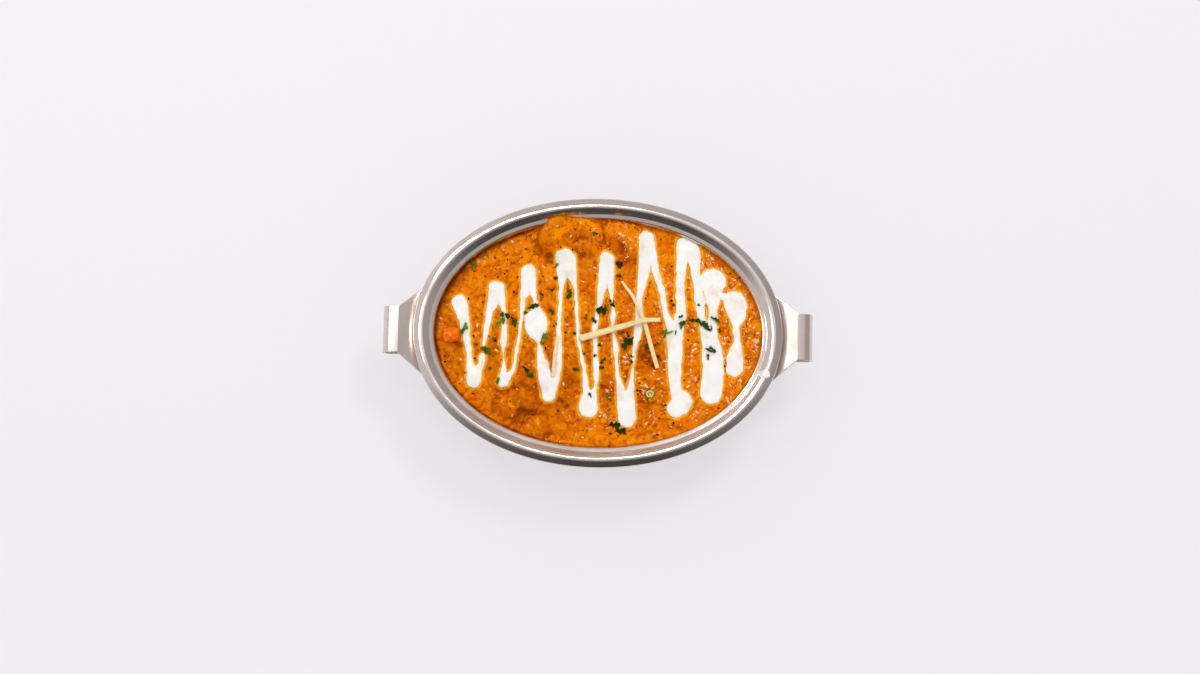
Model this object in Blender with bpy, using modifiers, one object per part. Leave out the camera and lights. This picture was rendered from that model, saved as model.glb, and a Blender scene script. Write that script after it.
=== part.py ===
"""Prawn masala in an oval stainless-steel serving dish with two strap handles.

The dish is pressed from one sheet: a flat base, a flared wall, a narrow step and a rolled rim. The curry
fills it to a little below the step. Prawns coated in sauce stand out of it, cream is poured over it in a
zigzag, and chopped coriander, a chilli ring and shreds of ginger lie on top.

Units are metres, +X runs from handle to handle, +Z is up, and the base stands on Z = 0. The lists of
places are in millimetres and are turned to metres where they are used.
"""
import math

import bmesh
import bpy
from mathutils import Matrix, Vector

MM = 0.001
GAP = 0.0003  # air left between neighbouring pieces
FOOD_GAP = 1.4 * GAP  # between the food and the dish or a piece sunk in it, where facets meet at a slant
TIP_REACH = 0.8  # round end of a tube: how far past its last station, in radii
TIP_WIDTH = 0.45  # and how wide there

# Dish
RIM_LENGTH = 0.200
RIM_WIDTH = 0.147
DISH_HEIGHT = 0.043
SHEET = 0.0009
FULLNESS = 0.008  # how much fuller than an ellipse the outline is between its axes
ROLL_RADIUS = 0.0038  # of the rolled rim's under side
ROLL_END = 300  # where the roll stops, in degrees round its centre
ROLL_STEP = 30
CREST_INSET = 0.0044  # the rim's top is a blunt ridge
CREST_RADIUS = 0.0022
RIM_SLOPE = math.radians(33)  # of the flat face outside the crest
EDGE_RADIUS = 0.0013
COLLAR_FOOT = (0.0083, 0.0402)  # inset from the rim's edge, height
STEP_EDGE = (0.0109, 0.0395)
WALL_LEAN = math.radians(15)
CORNER_RADIUS = 0.008
CORNER_STEPS = 3
AROUND = 60  # facets around the dish
ABOVE_RIM = 0.003  # how far above the rim's crest food may stand
SHARP_FOLD = math.radians(38)  # a steeper fold in a sheet is shaded as an edge

# Strap handles
STRAP = 0.0012
HANDLE_REACH = 0.0175  # how far the rolled end stands out from the rim's edge
HANDLE_CREASE = 0.0084  # from the rim's edge to the bend
TAB_SLOPE = math.radians(18)
TAB_GAP = 1.3 * GAP  # between the tab and the rolled rim over it
TAB_HALF_WIDTH = 0.0245
TAB_SHOULDER = 0.0058  # from the rim's edge inwards to where the tab starts to narrow
GRIP_HALF_WIDTH = 0.0125
FLANGE_DROP = 0.011
FLANGE_GAP = 1.9 * GAP  # between the flange and the curved wall
GRIP_FLAT = 0.0035
GRIP_FALL = math.radians(-9)
GRIP_ROLL = math.radians(195)
GRIP_STEPS = 8
STRAP_COLUMNS = 6

# Curry
CURRY_LEVEL = 0.0360
CURRY_GRID = 0.0075
LUMPS = (  # x, y, half length, half width, turn in degrees, height, all of it but the turn in mm
    (-11, 48, 17, 8, 5, 2.0),
    (12, 44, 12, 9, -20, 1.6),
    (-6, 34, 9, 7, 0, 1.3),
    (14, 14, 8, 7, 10, 1.2),
    (-14, -14, 6, 9, 15, 1.1),
    (6, -22, 8, 8, 0, 1.2),
    (-48, 2, 6, 6, 0, 0.9),
    (-30, -30, 24, 5, 0, -1.0),
    (28, -9, 10, 6, 20, -1.6),
    (-62, 34, 14, 8, 40, 0.6),
    (45, -48, 10, 7, 20, 1.2),
    (70, 24, 9, 10, 0, 0.7),
)
LUMP_FALL = 1.2  # how quickly a lump falls off outside its half length
RIPPLE_HEIGHT = 0.00022
RIPPLE_WAVES = (210, 260, 330)  # along, across and on the slant, in radians for each metre
AIR_SPARE = 1.05  # the air over the food is this much larger than the rim

# Prawns, each curled on an arc: centre x, y and height, bend radius, first angle, sweep, body radius
PRAWNS = {
    "prawn_rim_left": (-12, 41, 39.4, 17.0, 152, -112, 6.4),
    "prawn_rim_right": (10, 47, 38.4, 8.5, 118, -150, 5.6),
    "prawn_front_left": (-41, -45.5, 35.6, 8.5, 150, -112, 5.4),
    "prawn_front": (-27.5, -58.5, 35.2, 9.5, 128, -90, 5.0),
    "prawn_right": (92, -3, 35.4, 9.0, 130, 105, 5.0),
    "prawn_middle": (30.5, -32.5, 35.3, 9.5, 146, -112, 4.8),
}
PRAWN_SEGMENTS = 5
PRAWN_STATIONS = 11
PRAWN_FLATTEN = 0.80
PRAWN_TAPER = 0.42  # how much thinner the tail is
PRAWN_RIB = 0.05  # how far each segment bulges, as a share of the body's radius
TAIL_DROP = 0.8  # how much lower the tail lies, in mm
POCKET_STATIONS = 7
POCKET_GROW = 0.0013

# Cream, poured as a zigzag: runs of x, y and half width in mm
CREAM_HALF_HEIGHT = 0.0014
CREAM_FLATTEN = 0.42
CREAM_LEAST = 0.9  # half width of the thinnest thread, in mm
BURIED_WIDTH = 0.5  # width of a run's start inside the blob before it, as a share of the blob's
CREAM_RUNS = (
    ((-75.6, 15.2, 4.7), (-73.6, 9.2, 3.8), (-71.7, 0.5, 2.8), (-69.4, -14.8, 2.1), (-66.8, -27.3, 4.3)),
    ((-66.8, -27.3, 4.0), (-63.5, -19.6, 2.4), (-62.3, -13.6, 2.1)),
    ((-61.8, -7.6, 1.3), (-60.5, 0.7, 2.0), (-59.2, 10.0, 2.4), (-55.6, 22.5, 4.8)),
    ((-55.6, 22.5, 4.8), (-51.7, 13.5, 1.9), (-50.9, -5.2, 2.2), (-50.7, -17.0, 1.2), (-50.9, -27.3, 3.7)),
    ((-50.9, -27.3, 3.5), (-45.6, -20.9, 1.5), (-42.1, 2.1, 1.2), (-41.1, 15.9, 1.9), (-38.4, 32.8, 4.6)),
    ((-38.4, 32.8, 4.6), (-35.2, 19.9, 1.9), (-33.7, 4.0, 6.7), (-32.1, -5.3, 1.7), (-26.0, -34.1, 4.2)),
    ((-26.0, -34.1, 3.9), (-21.4, -21.0, 2.4), (-21.0, 7.0, 1.6), (-20.4, 26.2, 2.0), (-18.5, 39.0, 6.2)),
    ((-18.5, 39.0, 6.2), (-13.6, 27.5, 2.0), (-10.5, -2.7, 1.5), (-5.8, -31.0, 2.3), (-4.5, -40.8, 5.6)),
    ((-4.5, -40.8, 5.4), (-1.1, -29.8, 1.7), (-1.6, 3.0, 2.0), (0.3, 15.6, 1.9), (4.1, 39.2, 4.4)),
    ((4.1, 39.2, 4.4), (6.8, 24.0, 1.9), (8.1, 6.0, 1.4), (10.0, -11.0, 1.8), (16.7, -45.8, 5.5)),
    ((16.7, -45.8, 5.4), (18.0, -31.1, 2.5), (19.4, -19.0, 1.1), (22.0, 6.0, 2.6), (25.8, 50.4, 4.7)),
    ((25.8, 50.4, 4.7), (29.8, 38.9, 2.7), (36.8, 11.4, 2.2), (41.8, -8.0, 4.4), (42.9, -30.0, 3.6)),
    ((42.9, -32.2, 3.6), (46.3, -36.5, 5.7), (43.1, -40.3, 5.2)),
    ((42.0, -5.5, 4.0), (44.7, 12.7, 3.2), (44.2, 25.9, 2.8), (46.0, 45.0, 4.7)),
    ((49.4, 43.6, 4.2), (52.6, 33.2, 2.6), (55.0, 17.9, 3.0), (59.9, -5.1, 3.8)),
    ((61.6, -30.4, 6.2), (62.6, -14.0, 6.0), (62.1, 5.0, 3.2), (62.3, 16.9, 3.5), (62.2, 30.1, 6.8)),
    ((63.8, 28.5, 5.6), (73.2, 17.1, 7.0), (75.0, 5.1, 2.7), (75.2, -5.0, 2.6), (74.5, -15.5, 5.0)),
)
CREAM_STEP = 0.0080
CREAM_DROP = (89.7, -21.9, 42.2, 2.8, 1.7)  # splashed on the rim: x, y, height, radius, half thickness

# Chopped coriander: x, y, length in mm and turn in degrees
HERBS = (
    (-68.3, 36.3, 4.9, 100), (-46.8, 37.0, 3.0, 30), (-25.2, 23.3, 2.6, 40), (-15.9, 21.3, 4.3, 80),
    (-34.0, 48.0, 3.2, 0), (10.6, 31.6, 3.0, 0), (7.3, 16.8, 4.3, -45), (2.5, 11.8, 5.9, 15),
    (-6.6, 8.9, 2.9, -50), (-35.0, 14.3, 4.9, 30), (-45.7, 5.3, 5.4, -60), (-54.1, 4.1, 4.9, 70),
    (-55.9, -4.7, 3.2, 0), (-61.0, -10.3, 5.4, -30), (-72.8, 0.9, 5.4, 65), (-25.7, 11.2, 3.8, -60),
    (-29.2, -2.6, 5.9, 40), (-52.8, -27.1, 3.2, 80), (-37.4, -21.5, 6.4, -30), (-11.5, -20.2, 3.8, 0),
    (-3.3, -34.0, 3.2, -75), (6.2, -35.1, 4.3, -60), (11.8, -50.4, 8.0, -50), (16.4, -4.1, 7.0, 25),
    (3.4, -15.6, 4.6, 30), (18.8, -14.0, 3.0, 0), (38.4, 2.0, 4.6, 45), (45.2, 7.6, 4.6, 40),
    (51.0, 8.4, 6.0, -10), (57.0, 5.2, 7.0, -75), (63.5, 8.6, 4.3, -30), (61.0, -7.9, 5.4, 20),
)
HERB_THICKNESS = 0.0007
HERB_SHAPE = 0.45  # width to length
HERB_FOLD = 0.25  # rise of its sides from the midrib
HERB_TILT = 0.12  # rise of its tip
HERB_LIFT = 0.15  # how much of its thickness is above the middle of the sheet
CHILLI_RING = (28.8, -32.6, 1.7, 0.75)  # x, y, ring radius, wall radius
CHILLI_LIFT = 0.0002
CHILLI_SIDES = (9, 4)  # facets round the ring and round its wall
SPICE_POD = (10.8, 38.0, 2.4, 1.6)  # x, y, half length, half width
POD_HEIGHT = 0.8  # half height to half width
POD_LIFT = 0.2  # rise of its middle over the sauce, in half widths

# Ginger shreds: path points of x, y and height, then half width
GINGER = {
    "ginger_cross": (((-9.5, -3.2, 38.1), (7.6, 2.0, 38.6), (22.8, 6.6, 40.5), (33.6, 7.7, 38.6)), 1.55),
    "ginger_under": (((12.4, 28.6, 37.9), (18.3, 21.6, 38.3), (25.0, 6.0, 38.5), (32.6, -18.6, 37.5)), 1.15),
    "ginger_in_cream": (((-21.6, -2.0, 37.8), (-22.9, -12.3, 37.9), (-23.8, -24.4, 37.5)), 1.0),
}
GINGER_FLATTEN = 0.62
GINGER_STATIONS = 9
TOMATO = (-79.6, -2.6, 36.2, 4.9, 3.6, 2.4)  # centre x, y and height, then its three half sizes
TOMATO_TURN = math.radians(10)


# --------------------------------------------------------------------------- helpers


def clear_scene():
    for old in list(bpy.data.objects):
        bpy.data.objects.remove(old, do_unlink=True)


def new_collection(name):
    made = bpy.data.collections.new(name)
    bpy.context.scene.collection.children.link(made)
    return made


def new_material(name, colour, roughness, metallic=0.0):
    made = bpy.data.materials.new(name)
    made.use_nodes = True
    shader = made.node_tree.nodes["Principled BSDF"]
    shader.inputs["Base Color"].default_value = (*colour, 1.0)
    shader.inputs["Roughness"].default_value = roughness
    shader.inputs["Metallic"].default_value = metallic
    made.diffuse_color = (*colour, 1.0)
    return made


def object_from_bmesh(bm, name, collection, surface=None, smooth=True):
    """Turn a bmesh into a named object and free it."""
    mesh = bpy.data.meshes.new(name)
    bmesh.ops.recalc_face_normals(bm, faces=bm.faces)
    bm.to_mesh(mesh)
    bm.free()
    if smooth:
        mesh.shade_smooth()
    made = bpy.data.objects.new(name, mesh)
    collection.objects.link(made)
    if surface:
        mesh.materials.append(surface)
    return made


def as_cutter(made):
    made.hide_render = True
    made.display_type = "WIRE"
    return made


def apply_modifiers(made):
    """Bake an object's modifiers into its own mesh."""
    bpy.context.view_layer.update()
    graph = bpy.context.evaluated_depsgraph_get()
    baked = bpy.data.meshes.new_from_object(made.evaluated_get(graph))
    made.modifiers.clear()
    old = made.data
    made.data = baked
    bpy.data.meshes.remove(old)


def keep_largest_body(made):
    """Drop the loose scraps that a cut leaves."""
    bm = bmesh.new()
    bm.from_mesh(made.data)
    left = set(bm.faces)
    bodies = []
    while left:
        front = [left.pop()]
        body = list(front)
        while front:
            for edge in front.pop().edges:
                for face in edge.link_faces:
                    if face in left:
                        left.remove(face)
                        body.append(face)
                        front.append(face)
        bodies.append(body)
    bodies.sort(key=len)
    for body in bodies[:-1]:
        bmesh.ops.delete(bm, geom=body, context="FACES")
    bm.to_mesh(made.data)
    bm.free()


def loft(bm, rings, closed=True):
    """Join rings of as many points each by quads, and return their vertices."""
    made = [[bm.verts.new(point) for point in ring] for ring in rings]
    count = len(made[0])
    for lower, upper in zip(made, made[1:]):
        for i in range(count if closed else count - 1):
            j = (i + 1) % count
            bm.faces.new((lower[i], lower[j], upper[j], upper[i]))
    return made


def smooth_path(points, steps):
    """Points on a Catmull-Rom curve through the given ones, of any number of values each."""
    ends = [points[0], *points, points[-1]]
    made = []
    for i in range(1, len(ends) - 2):
        before, start, end, after = ends[i - 1 : i + 3]
        for k in range(steps):
            t = k / steps
            made.append(tuple(
                0.5 * (2 * b + (c - a) * t + (2 * a - 5 * b + 4 * c - d) * t**2 + (3 * b - a - 3 * c + d) * t**3)
                for a, b, c, d in zip(before, start, end, after)
            ))
    made.append(tuple(points[-1]))
    return made


def tube(name, path, collection, surface, flatten=1.0, sides=1):
    """A solid along a path of x, y, z and radius, flattened in height, as a welded mesh."""
    curve = bpy.data.curves.new(name, "CURVE")
    curve.dimensions = "3D"
    curve.bevel_depth = 1.0
    curve.bevel_resolution = sides
    curve.use_fill_caps = True
    spline = curve.splines.new("POLY")
    spline.points.add(len(path) - 1)
    for point, (x, y, z, radius) in zip(spline.points, path):
        point.co = (x, y, z / flatten, 1.0)
        point.radius = radius
    route = bpy.data.objects.new(name, curve)
    route.scale.z = flatten
    collection.objects.link(route)
    bpy.context.view_layer.update()
    graph = bpy.context.evaluated_depsgraph_get()
    mesh = bpy.data.meshes.new_from_object(route.evaluated_get(graph))
    mesh.transform(route.matrix_world)
    bpy.data.objects.remove(route)
    bpy.data.curves.remove(curve)
    bm = bmesh.new()
    bm.from_mesh(mesh)
    bpy.data.meshes.remove(mesh)
    bmesh.ops.remove_doubles(bm, verts=bm.verts, dist=0.00001)
    return object_from_bmesh(bm, name, collection, surface)


def rounded_ends(path):
    """Add a narrower station beyond each end of a path, so that its ends are round."""
    ends = []
    for end, inner in ((path[0], path[1]), (path[-1], path[-2])):
        run = Vector(end[:3]) - Vector(inner[:3])
        tip = Vector(end[:3]) + run.normalized() * end[3] * TIP_REACH
        ends.append((*tip, end[3] * TIP_WIDTH))
    return [ends[0], *path, ends[1]]


# --------------------------------------------------------------------------- dish


def rim_point(angle, inset=0.0):
    """A point on the rim's plan outline, moved inwards at right angles to it."""

    def outline(a):
        full = 1.0 + FULLNESS * math.sin(2 * a) ** 2
        return Vector((RIM_LENGTH / 2 * math.cos(a) * full, RIM_WIDTH / 2 * math.sin(a) * full))

    along = outline(angle + 0.001) - outline(angle - 0.001)
    outwards = Vector((along.y, -along.x)).normalized()
    return outline(angle) - outwards * inset


def wall_profile():
    """Inset and height along the sheet's food side, from the flat base to the tip of the rolled rim."""
    crest = Vector((CREST_INSET, DISH_HEIGHT - CREST_RADIUS))
    to_crest = crest - Vector(COLLAR_FOOT)
    tangent = math.atan2(to_crest.y, to_crest.x) - math.asin(CREST_RADIUS / to_crest.length)
    crest_start, crest_end = tangent - math.pi / 2, math.pi / 2 + RIM_SLOPE
    slope_top = crest + Vector((math.cos(crest_end), math.sin(crest_end))) * CREST_RADIUS
    slope_run = (slope_top.x - EDGE_RADIUS * (1 + math.cos(crest_end))) / math.cos(RIM_SLOPE)
    edge_height = slope_top.y - slope_run * math.sin(RIM_SLOPE) - EDGE_RADIUS * math.sin(crest_end)
    arcs = (  # centre, radius and the angles of the points of each arc of the rim, from the inside out
        (crest, CREST_RADIUS, (crest_start, math.radians(54), math.radians(90), crest_end)),
        (Vector((EDGE_RADIUS, edge_height)), EDGE_RADIUS, (crest_end, math.radians(150), math.pi)),
        (
            Vector((ROLL_RADIUS, DISH_HEIGHT - ROLL_RADIUS)),
            ROLL_RADIUS,
            tuple(math.radians(a) for a in range(180, ROLL_END + 1, ROLL_STEP)),
        ),
    )

    corner_height = SHEET + CORNER_RADIUS
    wall_run = (STEP_EDGE[1] - corner_height) * math.tan(WALL_LEAN)
    corner_inset = STEP_EDGE[0] + wall_run + CORNER_RADIUS / math.cos(WALL_LEAN)

    points = []
    for i in range(CORNER_STEPS + 1):
        angle = 1.5 * math.pi - (math.pi / 2 - WALL_LEAN) * i / CORNER_STEPS
        points.append((
            corner_inset + CORNER_RADIUS * math.cos(angle),
            corner_height + CORNER_RADIUS * math.sin(angle),
        ))
    points += [STEP_EDGE, COLLAR_FOOT]
    for centre, radius, turns in arcs:
        points += [(centre.x + radius * math.cos(a), centre.y + radius * math.sin(a)) for a in turns]
    return points


def offset_profile(points, distance):
    """The same profile moved to its food side."""
    moved = []
    for i, point in enumerate(points):
        before = Vector(points[max(i - 1, 0)])
        after = Vector(points[min(i + 1, len(points) - 1)])
        along = (after - before).normalized()
        if i == 0:
            along = Vector((-1.0, 0.0))
        moved.append((point[0] + along.y * distance, point[1] - along.x * distance))
    return moved


def oval_ring(inset, height, count=AROUND):
    return [(*rim_point(2 * math.pi * i / count, inset), height) for i in range(count)]


def build_dish(collection, steel):
    """One pressed sheet: an open lofted surface given its thickness on the far side from the food."""
    bm = bmesh.new()
    rings = loft(bm, [oval_ring(inset, height) for inset, height in wall_profile()])
    bm.faces.new(rings[0])
    dish = object_from_bmesh(bm, "dish", collection, steel)
    if dish.data.polygons[-1].normal.z < 0:
        dish.data.flip_normals()
    dish.data.set_sharp_from_angle(angle=SHARP_FOLD)
    wall = dish.modifiers.new("sheet", "SOLIDIFY")
    wall.thickness = SHEET
    wall.offset = -1.0
    wall.use_even_offset = True
    return dish


def build_filling(collection):
    """The space inside the dish, clear of it, and a little way above the crest of the rim."""
    profile = offset_profile(wall_profile(), FOOD_GAP)
    crest = max(range(len(profile)), key=lambda i: profile[i][1])
    profile = [*profile[: crest + 1], (profile[crest][0], DISH_HEIGHT + ABOVE_RIM)]
    bm = bmesh.new()
    rings = loft(bm, [oval_ring(inset, height) for inset, height in profile])
    bm.faces.new(rings[0])
    bm.faces.new(rings[-1])
    return as_cutter(object_from_bmesh(bm, "filling", collection))


# --------------------------------------------------------------------------- handles


def wall_edge(side_y, inset):
    """How far out in X the wall at an inset is, at a distance from the middle of the handle."""
    low, high = 0.0, math.pi / 2
    for _ in range(30):
        middle = (low + high) / 2
        if rim_point(middle, inset).y < side_y:
            low = middle
        else:
            high = middle
    return rim_point(low, inset).x


def build_handle(name, side, collection, steel):
    """A strap: a flange welded under the rim, a tapered tab, a crease and an end rolled under.

    It is made at +X and turned half round for the other side. The surface is the side that faces up,
    and its thickness goes below.
    """
    rim_x = RIM_LENGTH / 2
    roll_centre = Vector((rim_x - ROLL_RADIUS, DISH_HEIGHT - ROLL_RADIUS))
    clear = (ROLL_RADIUS + TAB_GAP) / math.cos(TAB_SLOPE)
    tab_height = roll_centre.y - clear + ROLL_RADIUS * math.tan(TAB_SLOPE)

    def on_tab(x):
        return tab_height + (x - rim_x) * math.tan(TAB_SLOPE)

    crease = Vector((rim_x + HANDLE_CREASE, on_tab(rim_x + HANDLE_CREASE)))
    grip = [crease]
    heading = GRIP_FALL
    flat_end = crease + Vector((math.cos(heading), math.sin(heading))) * GRIP_FLAT
    radius = (rim_x + HANDLE_REACH - STRAP / 2 - flat_end.x) / (1 + math.sin(heading))
    centre = flat_end + Vector((math.sin(heading), -math.cos(heading))) * radius
    for i in range(GRIP_STEPS + 1):
        angle = heading + math.pi / 2 - GRIP_ROLL * i / GRIP_STEPS
        grip.append(centre + Vector((math.cos(angle), math.sin(angle))) * radius)

    columns = [2 * i / STRAP_COLUMNS - 1 for i in range(STRAP_COLUMNS + 1)]
    wall_inset = STEP_EDGE[0] - (SHEET + FLANGE_GAP) / math.cos(WALL_LEAN)
    lean = math.tan(WALL_LEAN)
    rows = []
    for drop in (FLANGE_DROP, FLANGE_DROP / 2, 0.0):
        row = []
        for c in columns:
            y = c * TAB_HALF_WIDTH
            top = on_tab(wall_edge(abs(y), wall_inset))
            height = top - drop
            x = wall_edge(abs(y), wall_inset + (STEP_EDGE[1] - height) * lean)
            row.append((x, y, height if drop else on_tab(x)))
        rows.append(row)
    shoulder = rim_x - TAB_SHOULDER
    for x, half in ((shoulder, TAB_HALF_WIDTH), ((shoulder + crease.x) / 2, None)):
        half = half or (TAB_HALF_WIDTH + GRIP_HALF_WIDTH) / 2
        rows.append([(x, c * half, on_tab(x)) for c in columns])
    for point in grip:
        rows.append([(point.x, c * GRIP_HALF_WIDTH, point.y) for c in columns])

    bm = bmesh.new()
    loft(bm, rows, closed=False)
    handle = object_from_bmesh(bm, name, collection, steel)
    if handle.data.polygons[STRAP_COLUMNS * 3].normal.z < 0:
        handle.data.flip_normals()
    handle.data.set_sharp_from_angle(angle=SHARP_FOLD)
    thickness = handle.modifiers.new("strap", "SOLIDIFY")
    thickness.thickness = STRAP
    thickness.offset = -1.0
    thickness.use_even_offset = True
    if side < 0:
        handle.rotation_euler.z = math.pi
    return handle


# --------------------------------------------------------------------------- curry


def curry_height(x, y):
    """Height of the sauce's surface: nearly level, with the bumps and hollows of what lies under it."""
    height = CURRY_LEVEL
    for cx, cy, length, width, turn, rise in LUMPS:
        dx, dy = x - cx * MM, y - cy * MM
        c, s = math.cos(math.radians(turn)), math.sin(math.radians(turn))
        u = (dx * c + dy * s) / (length * MM)
        v = (dy * c - dx * s) / (width * MM)
        height += rise * MM * math.exp(-(u * u + v * v) * LUMP_FALL)
    along, across, slant = RIPPLE_WAVES
    ripple = math.cos(x * along) * math.cos(y * across) + math.sin((x + y) * slant)
    return height + ripple * RIPPLE_HEIGHT


def build_air(collection):
    """What is cut off above the curry: a block whose underside is the sauce's surface."""
    size_x, size_y, top = RIM_LENGTH * AIR_SPARE, RIM_WIDTH * AIR_SPARE, DISH_HEIGHT + 2 * ABOVE_RIM
    bm = bmesh.new()
    bmesh.ops.create_grid(
        bm, x_segments=round(size_x / CURRY_GRID), y_segments=round(size_y / CURRY_GRID), size=0.5
    )
    bmesh.ops.scale(bm, vec=(size_x, size_y, 1.0), verts=bm.verts)
    for vert in bm.verts:
        vert.co.z = curry_height(vert.co.x, vert.co.y)
    raised = bmesh.ops.extrude_face_region(bm, geom=list(bm.faces))
    for item in raised["geom"]:
        if isinstance(item, bmesh.types.BMVert):
            item.co.z = top
    return as_cutter(object_from_bmesh(bm, "air", collection))


def prawn_path(centre_x, centre_y, height, bend, first, sweep, body, stations=PRAWN_STATIONS, grow=0.0):
    """Stations of a curled, ribbed body, blunt at its head end and thinning towards its tail."""
    path = []
    for i in range(stations):
        s = i / (stations - 1)
        angle = math.radians(first + sweep * s)
        thick = body * (1.0 - PRAWN_TAPER * s**1.6) * min(1.0, (1 - s) * 5 + 0.45, s * 6 + 0.55)
        rib = 1.0 + PRAWN_RIB * math.cos(2 * math.pi * PRAWN_SEGMENTS * s)
        path.append((
            (centre_x + bend * math.cos(angle)) * MM,
            (centre_y + bend * math.sin(angle)) * MM,
            (height - TAIL_DROP * s) * MM,
            thick * rib * MM + grow,
        ))
    return rounded_ends(path)


def cream_path(run, buried):
    """Stations of one poured run, lying on the sauce. A buried start is inside the blob before it."""
    if buried:
        run = ((*run[0][:2], run[0][2] * BURIED_WIDTH), *run[1:])
    length = sum((Vector(b[:2]) - Vector(a[:2])).length for a, b in zip(run, run[1:])) * MM
    steps = max(2, round(length / CREAM_STEP / (len(run) - 1)))
    path = []
    for x, y, half in smooth_path(run, steps):
        path.append((x * MM, y * MM, curry_height(x * MM, y * MM), max(half, CREAM_LEAST) * MM))
    return path


def build_cream_run(name, run, buried, collection, cream):
    """One run of cream: a tube flattened until it stands a little proud of the sauce."""
    run_solid = tube(name, rounded_ends(cream_path(run, buried)), collection, cream, flatten=CREAM_FLATTEN)
    for vert in run_solid.data.vertices:
        level = curry_height(vert.co.x, vert.co.y)
        vert.co.z = level + math.copysign(min(abs(vert.co.z - level), CREAM_HALF_HEIGHT), vert.co.z - level)
    return run_solid


def surface_height(x, y):
    """Height of sauce or cream at a place in metres."""
    height = curry_height(x, y)
    for run in CREAM_RUNS:
        for a, b in zip(run, run[1:]):
            start, end, place = Vector(a[:2]) * MM, Vector(b[:2]) * MM, Vector((x, y))
            along = end - start
            t = min(1.0, max(0.0, (place - start).dot(along) / along.length_squared))
            half = (a[2] + (b[2] - a[2]) * t) * MM
            away = (place - start - along * t).length
            if away < half:
                rise = CREAM_HALF_HEIGHT * math.sqrt(1 - (away / half) ** 2)
                height = max(height, curry_height(x, y) + rise)
    return height


def build_herb(name, x, y, length, turn, collection, green):
    """A scrap of coriander leaf: a thin pointed plate with a bend in it, half sunk where it lies."""
    bm = bmesh.new()
    bmesh.ops.create_cone(bm, cap_ends=True, segments=6, radius1=0.5, radius2=0.5, depth=1.0)
    bmesh.ops.scale(bm, vec=(length * MM, length * HERB_SHAPE * MM, HERB_THICKNESS), verts=bm.verts)
    for vert in bm.verts:
        vert.co.z += HERB_FOLD * abs(vert.co.y) + HERB_TILT * vert.co.x
    place = Vector((x * MM, y * MM, surface_height(x * MM, y * MM) + HERB_THICKNESS * HERB_LIFT))
    spin = Matrix.Translation(place) @ Matrix.Rotation(math.radians(turn), 4, "Z")
    bmesh.ops.transform(bm, matrix=spin, verts=bm.verts)
    return object_from_bmesh(bm, name, collection, green, smooth=False)


def build_toppings(collection, cream, green, spice):
    """Everything that is stuck to the sauce: cream, coriander, a chilli ring and a spice pod."""
    for i, run in enumerate(CREAM_RUNS):
        buried = i > 0 and run[0][:2] == CREAM_RUNS[i - 1][-1][:2]
        build_cream_run(f"cream_{i}", run, buried, collection, cream)
    for i, (x, y, length, turn) in enumerate(HERBS):
        build_herb(f"herb_{i}", x, y, length, turn, collection, green)

    x, y, ring, wall = (value * MM for value in CHILLI_RING)
    bpy.ops.mesh.primitive_torus_add(
        major_segments=CHILLI_SIDES[0], minor_segments=CHILLI_SIDES[1], major_radius=ring, minor_radius=wall,
        location=(x, y, curry_height(x, y) + CHILLI_LIFT),
    )
    chilli = bpy.context.object
    chilli.name = "chilli_ring"
    chilli.data.materials.append(green)
    for home in list(chilli.users_collection):
        home.objects.unlink(chilli)
    collection.objects.link(chilli)

    x, y, length, width = (value * MM for value in SPICE_POD)
    bm = bmesh.new()
    bmesh.ops.create_uvsphere(bm, u_segments=8, v_segments=5, radius=1.0)
    bmesh.ops.scale(bm, vec=(width, length, width * POD_HEIGHT), verts=bm.verts)
    bmesh.ops.translate(bm, vec=(x, y, curry_height(x, y) + width * POD_LIFT), verts=bm.verts)
    object_from_bmesh(bm, "spice_pod", collection, spice)


def build_curry(collection, cutters, filling, surfaces):
    """Sauce up to its level, with pockets for what stands in it and the poured and strewn things on it."""
    pockets = new_collection("pockets")
    for name, values in PRAWNS.items():
        path = prawn_path(*values, stations=POCKET_STATIONS, grow=POCKET_GROW)
        tube(f"{name}_pocket", path, pockets, None, PRAWN_FLATTEN, sides=2)
    build_tomato("tomato_pocket", pockets, None, grow=FOOD_GAP)
    toppings = new_collection("toppings")
    build_toppings(toppings, surfaces["cream"], surfaces["coriander"], surfaces["spice"])

    curry = filling.copy()
    curry.data = filling.data.copy()
    curry.name = "curry"
    curry.hide_render = False
    curry.display_type = "TEXTURED"
    curry.data.materials.append(surfaces["sauce"])
    collection.objects.link(curry)
    air = build_air(cutters)
    level = curry.modifiers.new("level", "BOOLEAN")
    level.operation = "DIFFERENCE"
    level.object = air
    poured = curry.modifiers.new("toppings", "BOOLEAN")
    poured.operation = "UNION"
    poured.operand_type = "COLLECTION"
    poured.collection = toppings
    poured.solver = "MANIFOLD"
    sunk = curry.modifiers.new("pockets", "BOOLEAN")
    sunk.operation = "DIFFERENCE"
    sunk.operand_type = "COLLECTION"
    sunk.collection = pockets
    sunk.solver = "MANIFOLD"
    wall = curry.modifiers.new("wall", "BOOLEAN")
    wall.operation = "INTERSECT"
    wall.object = filling
    wall.solver = "MANIFOLD"
    apply_modifiers(curry)
    keep_largest_body(curry)
    for group in (toppings, pockets):
        for made in list(group.objects):
            bpy.data.objects.remove(made, do_unlink=True)
        bpy.data.collections.remove(group)
    return curry


# --------------------------------------------------------------------------- prawns, ginger, tomato


def build_prawn(name, values, collection, filling, surface):
    """A curled prawn under a coat of sauce, pressed no further than the dish's wall."""
    prawn = tube(name, prawn_path(*values), collection, surface, PRAWN_FLATTEN, sides=2)
    wall = prawn.modifiers.new("wall", "BOOLEAN")
    wall.operation = "INTERSECT"
    wall.object = filling
    return prawn


def ginger_path(points, half):
    path = smooth_path(points, GINGER_STATIONS // (len(points) - 1))
    return [(x * MM, y * MM, z * MM, half * MM) for x, y, z in path]


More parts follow.
